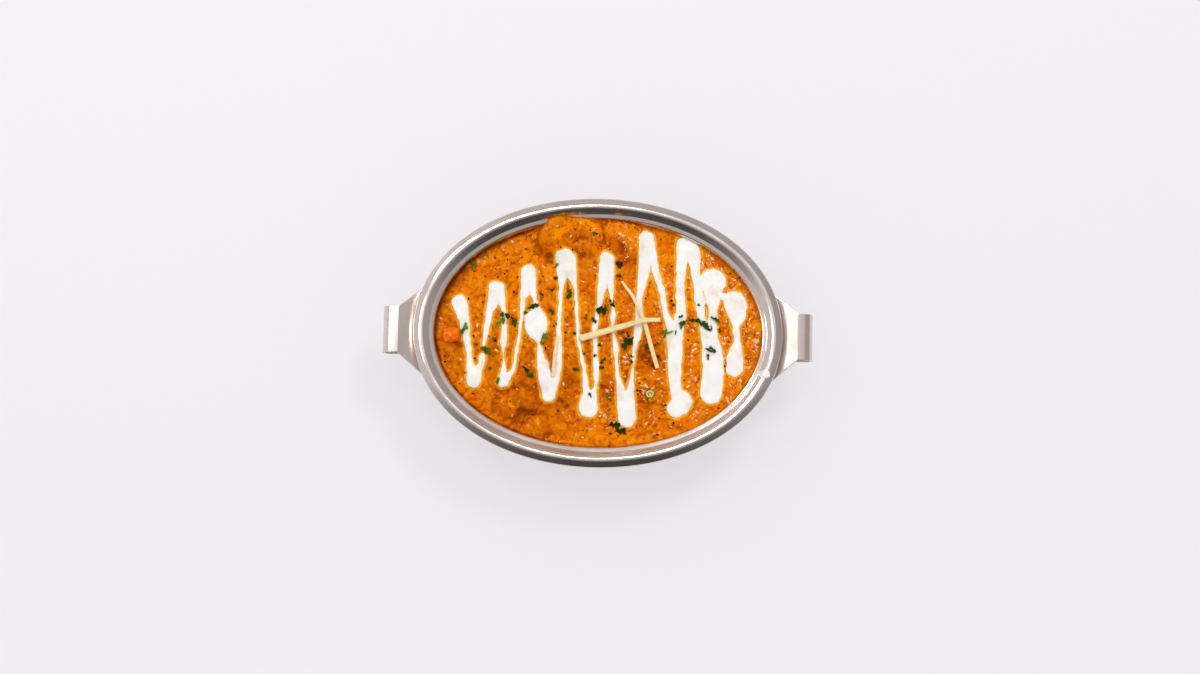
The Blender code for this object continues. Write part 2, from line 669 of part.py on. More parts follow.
def build_tomato(name, collection, surface, grow=0.0):
    """A soft wedge of tomato."""
    x, y, z, length, width, height = (value * MM for value in TOMATO)
    bm = bmesh.new()
    bmesh.ops.create_uvsphere(bm, u_segments=10, v_segments=6, radius=1.0)
    bmesh.ops.scale(bm, vec=(length + grow, width + grow, height + grow), verts=bm.verts)
    bmesh.ops.rotate(bm, matrix=Matrix.Rotation(TOMATO_TURN, 3, "Z"), verts=bm.verts)
    bmesh.ops.translate(bm, vec=(x, y, z), verts=bm.verts)
    return object_from_bmesh(bm, name, collection, surface)


def build_cream_drop(collection, filling, cream):
    """A drop of cream that fell on the inner side of the rim."""
    x, y, z, radius, half = (value * MM for value in CREAM_DROP)
    bm = bmesh.new()
    bmesh.ops.create_uvsphere(bm, u_segments=12, v_segments=8, radius=radius)
    bmesh.ops.scale(bm, vec=(1.0, 1.0, half / radius), verts=bm.verts)
    bmesh.ops.translate(bm, vec=(x, y, z), verts=bm.verts)
    drop = object_from_bmesh(bm, "cream_drop", collection, cream)
    wall = drop.modifiers.new("wall", "BOOLEAN")
    wall.operation = "INTERSECT"
    wall.object = filling
    return drop


def main():
    clear_scene()
    parts = new_collection("prawn_masala")
    cutters = new_collection("cutters")
    steel = new_material("stainless steel", (0.62, 0.60, 0.59), 0.25, 1.0)
    surfaces = {
        "sauce": new_material("masala sauce", (0.60, 0.16, 0.02), 0.25),
        "cream": new_material("cream", (0.92, 0.90, 0.84), 0.35),
        "coriander": new_material("coriander", (0.04, 0.11, 0.02), 0.5),
        "spice": new_material("whole spice", (0.05, 0.02, 0.03), 0.5),
        "prawn": new_material("prawn in sauce", (0.66, 0.20, 0.04), 0.25),
        "ginger": new_material("ginger", (0.85, 0.68, 0.35), 0.45),
        "tomato": new_material("tomato", (0.70, 0.12, 0.03), 0.3),
    }
    build_dish(parts, steel)
    build_handle("handle_right", 1, parts, steel)
    build_handle("handle_left", -1, parts, steel)
    filling = build_filling(cutters)
    build_curry(parts, cutters, filling, surfaces)
    for name, values in PRAWNS.items():
        build_prawn(name, values, parts, filling, surfaces["prawn"])
    for name, (points, half) in GINGER.items():
        tube(name, ginger_path(points, half), parts, surfaces["ginger"], GINGER_FLATTEN)
    build_tomato("tomato_piece", parts, surfaces["tomato"])
    build_cream_drop(parts, filling, surfaces["cream"])


main()
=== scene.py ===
"""Looks of a prawn masala in its oval stainless-steel serving dish.

Metres throughout, +X from handle to handle, +Z up, the dish's base on Z = 0. Lists of places on the food
are in millimetres and are turned to metres where they are used.
"""
import math
import random

import bmesh
import bpy
import numpy as np
from mathutils import Matrix, Vector, noise


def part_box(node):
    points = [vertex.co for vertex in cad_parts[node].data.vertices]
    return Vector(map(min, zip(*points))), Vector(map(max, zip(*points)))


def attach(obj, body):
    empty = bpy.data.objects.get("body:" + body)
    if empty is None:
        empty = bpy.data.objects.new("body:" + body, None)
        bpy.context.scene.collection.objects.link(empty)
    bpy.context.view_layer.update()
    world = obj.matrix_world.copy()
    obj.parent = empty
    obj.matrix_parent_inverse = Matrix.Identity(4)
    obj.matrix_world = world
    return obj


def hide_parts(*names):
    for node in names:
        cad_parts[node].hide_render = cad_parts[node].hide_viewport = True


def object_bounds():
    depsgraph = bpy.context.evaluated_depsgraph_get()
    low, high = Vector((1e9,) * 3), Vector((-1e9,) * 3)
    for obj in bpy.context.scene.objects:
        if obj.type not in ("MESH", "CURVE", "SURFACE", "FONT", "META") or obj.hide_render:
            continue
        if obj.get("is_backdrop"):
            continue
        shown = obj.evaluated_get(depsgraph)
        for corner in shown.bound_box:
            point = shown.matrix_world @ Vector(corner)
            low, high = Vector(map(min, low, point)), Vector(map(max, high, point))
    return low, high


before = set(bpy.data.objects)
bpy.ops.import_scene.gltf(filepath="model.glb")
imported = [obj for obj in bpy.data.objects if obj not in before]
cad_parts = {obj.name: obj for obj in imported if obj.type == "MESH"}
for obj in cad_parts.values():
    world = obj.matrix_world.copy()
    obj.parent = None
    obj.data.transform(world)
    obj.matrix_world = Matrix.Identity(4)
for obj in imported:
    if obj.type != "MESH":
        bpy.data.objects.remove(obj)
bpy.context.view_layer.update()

# ---------------------------------------------------------------------------------------------------
# The serving dish: one sheet of 0.9 mm stainless steel, pressed into an oval with a flat base, a flared
# wall, a narrow step and a sloping collar. Its rim is rolled outwards and under, and is polished satin.

MM = 0.001
SHEET = 0.9 * MM
HALF_LENGTH, HALF_WIDTH, DISH_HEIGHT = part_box("dish")[1]
FULLNESS = 0.008  # how much fuller than an ellipse the outline is between its axes
ROLL_RADIUS = 3.8 * MM  # of the rolled rim's under side
ROLL_END = math.radians(300)
CREST_INSET = 4.4 * MM  # the rim's top is a blunt ridge
CREST_RADIUS = 2.8 * MM
RIM_SLOPE = math.radians(33)  # of the flat face outside the crest
EDGE_RADIUS = 1.3 * MM
COLLAR_FOOT = (8.5 * MM, 40.14 * MM)  # inset from the rim's edge, height
STEP_EDGE = (10.9 * MM, 39.5 * MM)
WALL_LEAN = math.radians(15)
BASE_CORNER = 8.0 * MM
CORNER_STEPS = 10
FOLD_RADIUS = 1.1 * MM  # the press rounds the step's two folds
DISH_AROUND = 288


def oval(angle, inset=0.0):
    """Points on the rim's outline in plan, moved inwards at right angles to it."""
    def outline(a):
        full = 1.0 + FULLNESS * np.sin(2 * a) ** 2
        return HALF_LENGTH * np.cos(a) * full, HALF_WIDTH * np.sin(a) * full
    x, y = outline(angle)
    (x0, y0), (x1, y1) = outline(angle - 0.001), outline(angle + 0.001)
    length = np.hypot(x1 - x0, y1 - y0)
    return x - (y1 - y0) / length * inset, y + (x1 - x0) / length * inset


def fold(before, corner, after, radius, steps=7):
    """An arc in place of a sharp corner."""
    before, corner, after = Vector(before), Vector(corner), Vector(after)
    a, b = (before - corner).normalized(), (after - corner).normalized()
    half = a.angle(b) / 2
    centre = corner + (a + b).normalized() * radius / math.sin(half)
    start, end = corner + a * radius / math.tan(half) - centre, corner + b * radius / math.tan(half) - centre
    turn = start.angle_signed(end)
    return [centre + Matrix.Rotation(-turn * i / steps, 2) @ start for i in range(steps + 1)]


def wall_profile():
    """Inset and height along the sheet's food side, from the flat base to the tip of the rolled rim."""
    crest = Vector((CREST_INSET, DISH_HEIGHT - CREST_RADIUS))
    to_crest = crest - Vector(COLLAR_FOOT)
    crest_start = math.atan2(to_crest.y, to_crest.x) - math.asin(CREST_RADIUS / to_crest.length)
    crest_start -= math.pi / 2
    crest_end = math.pi / 2 + RIM_SLOPE
    slope_top = crest + Vector((math.cos(crest_end), math.sin(crest_end))) * CREST_RADIUS
    slope_run = (slope_top.x - EDGE_RADIUS * (1 + math.cos(crest_end))) / math.cos(RIM_SLOPE)
    edge_height = slope_top.y - slope_run * math.sin(RIM_SLOPE) - EDGE_RADIUS * math.sin(crest_end)
    edge, roll = Vector((EDGE_RADIUS, edge_height)), Vector((ROLL_RADIUS, DISH_HEIGHT - ROLL_RADIUS))
    corner_height = SHEET + BASE_CORNER
    corner_inset = STEP_EDGE[0] + (STEP_EDGE[1] - corner_height) * math.tan(WALL_LEAN)
    corner_inset += BASE_CORNER / math.cos(WALL_LEAN)
    points = []
    for i in range(CORNER_STEPS + 1):
        angle = 1.5 * math.pi - (math.pi / 2 - WALL_LEAN) * i / CORNER_STEPS
        points.append(Vector((
            corner_inset + BASE_CORNER * math.cos(angle), corner_height + BASE_CORNER * math.sin(angle)
        )))
    wall_foot = points[-1]
    points += [wall_foot.lerp(Vector(STEP_EDGE), t) for t in (0.25, 0.5, 0.75)]
    rim_foot = crest + Vector((math.cos(crest_start), math.sin(crest_start))) * CREST_RADIUS
    points += fold(wall_foot, STEP_EDGE, COLLAR_FOOT, FOLD_RADIUS)
    points += fold(STEP_EDGE, COLLAR_FOOT, rim_foot, FOLD_RADIUS)
    arcs = (
        (crest, CREST_RADIUS, crest_start, crest_end, 16), (edge, EDGE_RADIUS, crest_end, math.pi, 9),
        (roll, ROLL_RADIUS, math.pi, ROLL_END, 17),
    )
    for centre, radius, start, end, count in arcs:
        for angle in np.linspace(start, end, count):
            points.append(centre + Vector((math.cos(angle), math.sin(angle))) * radius)
    return np.array(points)


def grid_faces(rows, columns, wrap=False):
    """Quads between the points of a grid that is stored row by row."""
    i, j = np.meshgrid(np.arange(rows - 1), np.arange(columns if wrap else columns - 1), indexing="ij")
    k = (j + 1) % columns
    here, above = i * columns, (i + 1) * columns
    return np.stack([here + j, here + k, above + k, above + j], axis=-1).reshape(-1, 4).tolist()


def new_piece(name, points, faces, surface=None):
    """A smooth-shaded mesh object, whose place is in its mesh."""
    mesh = bpy.data.meshes.new(name)
    mesh.from_pydata(np.asarray(points).reshape(-1, 3).tolist(), [], faces)
    mesh.validate()
    mesh.shade_smooth()
    if surface:
        mesh.materials.append(surface)
    piece = bpy.data.objects.new(name, mesh)
    bpy.context.scene.collection.objects.link(piece)
    return piece


def set_uv(piece, u, v):
    """UV map from two values for each point, in metres."""
    layer = piece.data.uv_layers.new(name="UVMap")
    corners = np.zeros(len(piece.data.loops), dtype=np.int32)
    piece.data.loops.foreach_get("vertex_index", corners)
    layer.data.foreach_set("uv", np.stack([np.ravel(u)[corners], np.ravel(v)[corners]], axis=-1).ravel())


def run_along(points):
    """How far along a line of points each of them is."""
    return np.concatenate([[0.0], np.cumsum(np.linalg.norm(np.diff(points, axis=0), axis=1))])


def bake_modifiers(piece):
    """The evaluated mesh takes the place of the object's own."""
    bpy.context.view_layer.update()
    mesh = bpy.data.meshes.new_from_object(piece.evaluated_get(bpy.context.evaluated_depsgraph_get()))
    piece.modifiers.clear()
    piece.data = mesh


def thicken(piece, thickness):
    """Gives a skin the thickness of its sheet, on the side away from its normals."""
    sheet = piece.modifiers.new("sheet", "SOLIDIFY")
    sheet.thickness = thickness
    sheet.offset = -1.0
    sheet.use_even_offset = True
    bake_modifiers(piece)


def linear(code):
    """An sRGB hex colour as linear RGBA."""
    values = [int(code[i : i + 2], 16) / 255 for i in (0, 2, 4)]
    return (*((c / 12.92 if c <= 0.04045 else ((c + 0.055) / 1.055) ** 2.4) for c in values), 1.0)


def add_node(tree, kind, links=None, **settings):
    """Adds a node. links maps each input to what feeds it: an output, a node, which stands for its first
    output in use, a plain value, or the hex code of a colour."""
    node = tree.nodes.new(kind)
    for name, value in settings.items():
        setattr(node, name, value)
    for key, value in (links or {}).items():
        socket = node.inputs[key]
        if isinstance(value, bpy.types.Node):
            value = next(output for output in value.outputs if output.enabled)
        if isinstance(value, bpy.types.NodeSocket):
            tree.links.new(value, socket)
        else:
            socket.default_value = linear(value) if socket.type == "RGBA" else value
    return node


def new_material(name):
    """A material and its empty tree."""
    material = bpy.data.materials.new(name)
    material.use_nodes = True
    material.node_tree.nodes.clear()
    return material, material.node_tree


# Stainless steel. A belt polished the rim to a soft metal gloss, with faint lines along it and some
# cloudy wear; the handles' strip is brushed a little rougher. The lines are about 0.15 mm apart on the
# real dish and drawn at 0.3 mm.
STEEL_LINE = 0.3 * MM


def build_steel_material(name, smoothest, roughest):
    """Steel with lines along the piece, whose roughness wanders between the two values."""
    material, tree = new_material(name)
    along_rim = add_node(tree, "ShaderNodeUVMap", uv_map="UVMap")
    stretched = add_node(tree, "ShaderNodeMapping", {"Vector": along_rim, "Scale": (12, 1 / STEEL_LINE, 1)})
    lines = add_node(tree, "ShaderNodeTexNoise", {"Vector": stretched, "Scale": 1.0, "Detail": 3.0})
    place = add_node(tree, "ShaderNodeTexCoord").outputs["Object"]
    clouds = add_node(tree, "ShaderNodeTexNoise", {"Vector": place, "Scale": 60.0, "Detail": 4.0})
    colour = add_node(tree, "ShaderNodeMix", {0: clouds, 6: "DACEC7", 7: "EAE0D9"}, data_type="RGBA")
    rough = add_node(tree, "ShaderNodeMapRange", {
        "Value": clouds, "From Min": 0.3, "From Max": 0.7, "To Min": smoothest, "To Max": roughest,
    })
    relief = add_node(tree, "ShaderNodeBump", {"Height": lines, "Strength": 0.25, "Distance": 0.02 * MM})
    shader = add_node(tree, "ShaderNodeBsdfPrincipled", {
        "Base Color": colour, "Metallic": 1.0, "Roughness": rough, "Normal": relief,
    })
    add_node(tree, "ShaderNodeOutputMaterial", {"Surface": shader})
    return material


satin_steel = build_steel_material("satin_stainless_steel", 0.14, 0.21)

profile = wall_profile()
angles = 2 * math.pi * np.arange(DISH_AROUND) / DISH_AROUND
rings = []
for inset, height in profile:
    x, y = oval(angles, inset)
    rings.append(np.stack([x, y, np.full_like(x, height)], axis=-1))
faces = grid_faces(len(profile), DISH_AROUND, wrap=True)
faces.append(list(range(DISH_AROUND - 1, -1, -1)))
dish = new_piece("serving_dish", rings, faces, satin_steel)
if dish.data.polygons[-1].normal.z < 0:
    dish.data.flip_normals()
around = run_along(np.transpose(oval(np.append(angles, 2 * math.pi))))[:-1]
set_uv(dish, np.tile(around, len(profile)), np.repeat(run_along(profile), DISH_AROUND))
dish.data.set_sharp_from_angle(angle=math.radians(50))
thicken(dish, SHEET)
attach(dish, "root")
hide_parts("dish")

# ---------------------------------------------------------------------------------------------------
# Two strap handles: 1.2 mm stainless strip. A flange is spot-welded to the wall under the rim, a tab
# slopes up and narrows to a bend, and the grip beyond it is rolled under.

STRAP = 1.2 * MM
HANDLE_REACH = 17.4 * MM  # how far the rolled end stands out from the rim's edge
HANDLE_CREASE = 8.4 * MM
TAB_SLOPE = math.radians(18)
TAB_GAP = 0.39 * MM
TAB_HALF_WIDTH = 24.5 * MM
TAB_SHOULDER = 5.8 * MM
GRIP_HALF_WIDTH = 12.5 * MM
FLANGE_DROP = 11.0 * MM
FLANGE_GAP = 0.57 * MM
FLANGE_CORNER = 3.0 * MM
GRIP_FLAT = 3.5 * MM
GRIP_FALL = math.radians(-9)
GRIP_ROLL = math.radians(195)
STRAP_COLUMNS = 40
EDGE_ROUND = 0.25 * MM


def wall_edge(side_y, inset):
    """How far out in X the wall at an inset is, at a distance from the middle of the handle."""
    a = np.linspace(0, math.pi / 2, 2000)
    x, y = oval(a, inset)
    return float(np.interp(side_y, y, x))


def handle_rows():
    """Rows of points across the strap at +X, from the flange's lower edge to the end of the roll."""
    roll_x, roll_z = HALF_LENGTH - ROLL_RADIUS, DISH_HEIGHT - ROLL_RADIUS
    clear = (ROLL_RADIUS + TAB_GAP) / math.cos(TAB_SLOPE)
    tab_height = roll_z - clear + (HALF_LENGTH - roll_x) * math.tan(TAB_SLOPE)

    def on_tab(x):
        return tab_height + (x - HALF_LENGTH) * math.tan(TAB_SLOPE)

    across = np.linspace(-1, 1, STRAP_COLUMNS + 1)
    wall_inset = STEP_EDGE[0] - (SHEET + FLANGE_GAP) / math.cos(WALL_LEAN)
    rows = []
    for drop in (1.0, 0.97, 0.92, 0.86, 0.78, 0.7, 0.55, 0.4, 0.25, 0.12, 0.0):
        below = max(0.0, FLANGE_CORNER - (1.0 - drop) * FLANGE_DROP)
        half = TAB_HALF_WIDTH - FLANGE_CORNER + math.sqrt(FLANGE_CORNER**2 - below**2)
        row = []
        for c in across:
            y = c * half
            height = on_tab(wall_edge(abs(y), wall_inset)) - drop * FLANGE_DROP
            x = wall_edge(abs(y), wall_inset + (STEP_EDGE[1] - height) * math.tan(WALL_LEAN))
            row.append((x, y, height if drop else on_tab(x)))
        rows.append(row)

    shoulder, bend_x = HALF_LENGTH - TAB_SHOULDER, HALF_LENGTH + HANDLE_CREASE
    for x in np.linspace(shoulder, bend_x - 0.6 * MM, 22):
        near = x + np.linspace(-1.2, 1.2, 9) * MM  # the snipped corners are a little rounded
        half = np.interp(near, (shoulder, bend_x), (TAB_HALF_WIDTH, GRIP_HALF_WIDTH)).mean()
        rows.append([(x, c * half, on_tab(x)) for c in across])
    bend = Vector((bend_x, on_tab(bend_x)))
    heading = Vector((math.cos(GRIP_FALL), math.sin(GRIP_FALL)))
    line = fold((shoulder, on_tab(shoulder)), bend, bend + heading, 0.8 * MM, steps=4)
    flat_end = bend + heading * GRIP_FLAT
    line.append(flat_end)
    radius = (HALF_LENGTH + HANDLE_REACH - STRAP / 2 - flat_end.x) / (1 + math.sin(GRIP_FALL))
    centre = flat_end + Vector((math.sin(GRIP_FALL), -math.cos(GRIP_FALL))) * radius
    for i in range(1, 37):
        angle = GRIP_FALL + math.pi / 2 - GRIP_ROLL * i / 36
        line.append(centre + Vector((math.cos(angle), math.sin(angle))) * radius)
    for point in line:
        rows.append([(point.x, c * GRIP_HALF_WIDTH, point.y) for c in across])
    return np.array(rows)


brushed_steel = build_steel_material("brushed_stainless_strip", 0.19, 0.25)
rows = handle_rows()
run = run_along(rows[:, STRAP_COLUMNS // 2])
for name, side in (("handle_right", 1), ("handle_left", -1)):
    strap = new_piece(f"strap_{name}", rows * (side, side, 1), grid_faces(*rows.shape[:2]), brushed_steel)
    if strap.data.polygons[STRAP_COLUMNS * 16].normal.z < 0:
        strap.data.flip_normals()
    set_uv(strap, np.repeat(run, STRAP_COLUMNS + 1), rows[:, :, 1])
    thicken(strap, STRAP)
    edges = strap.modifiers.new("edges", "BEVEL")
    edges.width = EDGE_ROUND
    edges.segments = 2
    edges.limit_method = "ANGLE"
    edges.angle_limit = math.radians(50)
    bake_modifiers(strap)
    strap.data.shade_smooth()
    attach(strap, "root")
    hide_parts(name)

# ---------------------------------------------------------------------------------------------------
# The masala: a thick sauce of onion, tomato and cream, poured hot and settled level, but for the prawns
# and pieces under it. It is pebbly like semolina, wet with oil, and clings to the steel at its edge.

CURRY_LEVEL = 36.0 * MM
LUMPS = (  # x, y, half length, half width, turn in degrees, height, all of it but the turn in mm
    (-11, 48, 17, 8, 5, 4.0), (12, 44, 12, 9, -20, 1.6), (-6, 34, 9, 7, 0, 1.3), (14, 14, 8, 7, 10, 1.2),
    (-14, -14, 6, 9, 15, 1.1), (6, -22, 8, 8, 0, 1.2), (-48, 2, 6, 6, 0, 0.9), (-30, -30, 24, 5, 0, -1.0),
    (28, -9, 10, 6, 20, -1.6), (-62, 34, 14, 8, 40, 0.6), (45, -48, 10, 7, 20, 1.2), (70, 24, 9, 10, 0, 0.7),
    (-25, 61.5, 8, 5, 14, 5.0), (-4, 65, 12, 4.5, -2, 3.2),
)
LUMP_FALL = 1.2
RIPPLE_HEIGHT = 0.22 * MM
RIPPLE_WAVES = (210, 260, 330)
PRAWNS = {  # centre x, y and height, bend radius, first angle, sweep, body radius
    "prawn_rim_left": (-12, 41, 38.8, 17.0, 152, -112, 6.4),
    "prawn_rim_right": (10, 47, 38.4, 8.5, 118, -150, 5.6),
    "prawn_front_left": (-41, -45.5, 35.6, 8.5, 150, -112, 5.4),
    "prawn_front": (-27.5, -58.5, 35.2, 9.5, 128, -90, 5.0),
    "prawn_right": (92, -3, 35.4, 9.0, 130, 105, 5.0),
    "prawn_middle": (30.5, -32.5, 35.3, 9.5, 146, -112, 4.8),
}
PRAWN_SEGMENTS = 5
PRAWN_FLATTEN = 0.80
COAT = 0.05 * MM  # how far the sauce's skin stands over a prawn's back
HEAP_FALL = 0.7
HEAP_REACH = 36 * MM
CREASES = (  # folds in the sauce, from x, y to x, y, then half width and depth, all in mm
    (-23.4, 52.8, -16.9, 56.9, 1.5, 1.5), (-46.8, -41.0, -32.6, -45.1, 1.6, 1.6),
    (-32.6, -45.1, -23.4, -46.0, 1.5, 1.3), (-32.2, -48.0, -32.2, -48.0, 1.4, 2.2),
    (-22.5, -35.6, -16.5, -39.8, 2.2, 1.3), (20.9, -9.6, 31.9, -17.1, 2.4, 1.6),
    (-14.5, 44.7, -5.7, 41.6, 2.2, 1.3), (-82.5, -2.4, -73.1, -9.3, 1.7, 1.5),
    (0.4, -28.6, 9.3, -30.6, 1.4, 1.1), (3.1, 39.5, 11.3, 38.0, 1.5, 1.2),
    (11.3, 38.0, 20.0, 42.1, 1.5, 1.2), (80.0, 0.9, 80.6, -4.6, 1.3, 1.1),
    (80.6, -4.6, 86.7, -13.2, 1.3, 1.1), (23.0, -36.5, 36.0, -38.5, 1.4, 0.9),
)
CREASE_OPEN = 0.8  # the share of its depth that a fold keeps when the sauce has settled
# Where the sauce is painted darker, to the left and front of its middle.
DARKER_SIDE = (-34.0, -17.0, 44.0, 27.0)  # x and y of its middle, then its two half sizes, in mm


def sauce_level(x, y):
    """Height of the sauce without its grain: nearly level, with the bumps of what lies under it."""
    height = np.full_like(x, CURRY_LEVEL)
    for cx, cy, length, width, turn, rise in LUMPS:
        dx, dy = x - cx * MM, y - cy * MM
        c, s = math.cos(math.radians(turn)), math.sin(math.radians(turn))
        u, v = (dx * c + dy * s) / (length * MM), (dy * c - dx * s) / (width * MM)
        height += rise * MM * np.exp(-(u * u + v * v) * LUMP_FALL)
    along, across, slant = RIPPLE_WAVES
    return height + RIPPLE_HEIGHT * (np.cos(x * along) * np.cos(y * across) + np.sin((x + y) * slant))


def prawn_stations(centre_x, centre_y, height, bend, first, sweep, body, count=61):
    """Centre line and radius of a curled, ribbed body that thins towards its tail, in metres."""
    s = np.linspace(0, 1, count)
    angle = np.radians(first + sweep * s)
    thick = body * (1 - 0.42 * s**1.6) * np.minimum(1.0, np.minimum((1 - s) * 5 + 0.45, s * 6 + 0.55))
    x, y = centre_x + bend * np.cos(angle), centre_y + bend * np.sin(angle)
    return np.stack([x, y, height - 0.8 * s, thick], axis=-1) * MM


def heaped(x, y, level):
    """The sauce's height with the mounds it makes over the prawns."""
    raised = level.copy()
    for values in PRAWNS.values():
        path = prawn_stations(*values)
        near = np.hypot(x - path[30, 0], y - path[30, 1]) < HEAP_REACH
        px, py, found, under = x[near], y[near], raised[near], level[near]
        for cx, cy, cz, radius in path[::2]:
            away = np.hypot(px - cx, py - cy) / radius
            rise = cz + PRAWN_FLATTEN * radius + COAT - under
            found = np.maximum(found, under + rise * np.exp(-HEAP_FALL * away**3))
        raised[near] = found
    return raised


def folded(x, y):
    """How deep the folds in the sauce are."""
    deep = np.zeros_like(x)
    for x0, y0, x1, y1, width, depth in CREASES:
        dx, dy = (x1 - x0) * MM, (y1 - y0) * MM
        t = np.clip(((x - x0 * MM) * dx + (y - y0 * MM) * dy) / (dx * dx + dy * dy + 1e-12), 0, 1)
        away = np.hypot(x - x0 * MM - t * dx, y - y0 * MM - t * dy) / (width * MM)
        deep = np.maximum(deep, CREASE_OPEN * depth * MM * np.exp(-away * away))
    return deep


def grain(x, y, wavelength, seed, octaves=2):
    """Smooth noise from about -1 to 1 at places in plan."""
    flat = [
        noise.fractal(Vector((px, py, seed)), 1.0, 2.0, octaves)
        for px, py in zip((x / wavelength).ravel().tolist(), (y / wavelength).ravel().tolist())
    ]
    return np.array(flat).reshape(x.shape)


def darker_side_and_fold_shade(x, y):
    """From 0 to 1, where the sauce is painted darker: to the left and front of its middle, and by its folds
    as painted shade.
    """
    cx, cy, half_x, half_y = DARKER_SIDE
    side = np.exp(-(((x / MM - cx) / half_x) ** 2) - ((y / MM - cy) / half_y) ** 2)
    # Painted shade by the folds.
    fold_shade = np.zeros_like(x)
    for x0, y0, x1, y1, width, depth in CREASES:
        reach = math.hypot(x1 - x0, y1 - y0) / 2 + 3.2 * width
        away = np.hypot(x / MM - (x0 + x1) / 2, y / MM - (y0 + y1) / 2) / reach
        fold_shade = np.maximum(fold_shade, min(1.0, depth / 1.5) * np.exp(-away * away))
    uneven = 0.9 + 0.9 * grain(x, y, 3.2 * MM, 43.0)
    return np.clip((0.62 * side + 0.7 * fold_shade) * uneven, 0, 1)


def smooth_body(x, y):
    """The sauce's height without its grain, with the prawns that lift it."""
    return heaped(x, y, sauce_level(x, y)) - folded(x, y)


# Cream is poured on it in a zigzag. Its runs are x, y and half width in mm.
CREAM_RUNS = (
    ((-75.6, 15.2, 4.7), (-73.6, 9.2, 3.8), (-71.7, 0.5, 2.8), (-69.4, -14.8, 2.1), (-66.8, -27.3, 4.3)),
    ((-66.8, -27.3, 4.0), (-63.5, -19.6, 2.4), (-62.3, -13.6, 2.1)),
    ((-61.8, -7.6, 1.3), (-60.5, 0.7, 2.0), (-59.2, 10.0, 2.4), (-55.6, 23.1, 4.8)),
    ((-55.6, 23.1, 4.8), (-51.7, 13.5, 1.9), (-50.9, 5.3, 1.5), (-50.9, -5.2, 2.3), (-51.2, -10.1, 1.0),
     (-50.5, -18.8, 1.2), (-50.9, -27.3, 3.7)),
    ((-50.9, -27.3, 3.5), (-45.6, -20.9, 1.5), (-43.7, -9.4, 1.5), (-42.1, 2.1, 1.2), (-41.1, 15.9, 1.9),
     (-38.4, 32.8, 4.6)),
    ((-38.4, 32.8, 4.6), (-35.2, 19.9, 1.9), (-33.9, 13.3, 2.4), (-33.7, 4.0, 6.7), (-32.1, -5.3, 1.6),
     (-30.6, -13.5, 2.7), (-28.5, -22.2, 3.8), (-26.0, -34.1, 4.2)),
    ((-26.0, -34.1, 3.9), (-21.4, -21.0, 2.4), (-21.3, -6.7, 2.3), (-21.0, 7.0, 1.6), (-20.4, 26.2, 2.0),
     (-18.5, 39.8, 6.2)),
    ((-18.5, 39.8, 6.2), (-13.6, 27.5, 2.0), (-11.9, 15.4, 1.3), (-10.5, -2.7, 1.5), (-7.6, -17.4, 1.4),
     (-5.8, -31.0, 2.3), (-4.5, -40.8, 5.6)),
    ((-4.5, -40.8, 5.4), (-1.1, -29.8, 1.6), (-0.5, -22.7, 2.2), (-1.1, -10.2, 1.6), (-1.6, 3.0, 2.0),
     (0.3, 15.6, 1.9), (4.1, 40.6, 4.5)),
    ((4.1, 40.6, 4.5), (6.8, 24.0, 1.9), (7.7, 15.2, 1.0), (8.0, 9.2, 1.9), (8.3, 1.5, 1.1),
     (10.0, -8.8, 2.0), (10.1, -13.8, 1.3), (11.9, -26.3, 2.0), (16.7, -45.8, 5.5)),
    ((16.7, -45.8, 5.4), (18.0, -31.1, 2.5), (19.4, -19.0, 1.0), (20.1, -7.5, 1.6), (22.0, 3.4, 2.8),
     (22.3, 21.0, 2.3), (24.5, 34.3, 3.5), (25.6, 52.4, 4.6)),
    ((25.6, 52.4, 4.6), (29.8, 38.9, 2.7), (34.5, 21.8, 2.1), (36.8, 11.4, 2.0), (41.7, -3.8, 4.5),
     (41.9, -19.1, 4.1), (42.9, -32.2, 3.2)),
    ((42.9, -32.2, 3.6), (46.3, -36.5, 5.9), (43.1, -40.3, 5.4)),
    ((42.0, -5.5, 4.0), (44.7, 12.7, 3.2), (44.2, 25.9, 2.8), (45.1, 40.3, 3.6), (46.4, 49.0, 5.0)),
    ((44.8, 50.8, 3.1), (50.4, 46.2, 4.8), (52.6, 33.2, 2.8), (55.0, 17.9, 3.0), (57.0, 5.3, 2.4),
     (59.9, -5.1, 3.8)),
    ((61.6, -31.6, 6.3), (62.8, -19.8, 6.2), (62.1, -8.9, 5.9), (62.0, 2.1, 3.2), (62.3, 16.9, 3.5),
     (62.0, 29.6, 7.5)),
    ((66.0, 21.6, 2.4), (70.4, 20.6, 3.0), (74.0, 18.2, 6.4), (75.2, 12.2, 5.6), (75.0, 5.1, 2.7),
     (75.5, -3.7, 2.3), (74.6, -10.8, 4.6), (74.4, -17.4, 5.2)),
)
CREAM_WOBBLE = 0.65 * MM  # how uneven the edge of the cream is
THINNEST = 0.7 * MM  # half the width of the thinnest thread of cream


def smooth_path(stations, steps):
    """A Catmull-Rom curve through the stations, with so many steps from each to the next."""
    ends = np.vstack([stations[0], stations, stations[-1]])
    last = len(stations) - 1
    path = []
    for t in np.linspace(0, last, last * steps + 1):
        i = min(int(t), last - 1)
        f = t - i
        a, b, c, d = ends[i : i + 4]
        path.append(
            0.5 * (2 * b + (c - a) * f + (2 * a - 5 * b + 4 * c - d) * f**2 + (3 * b - a - 3 * c + d) * f**3)
        )
    return np.array(path)


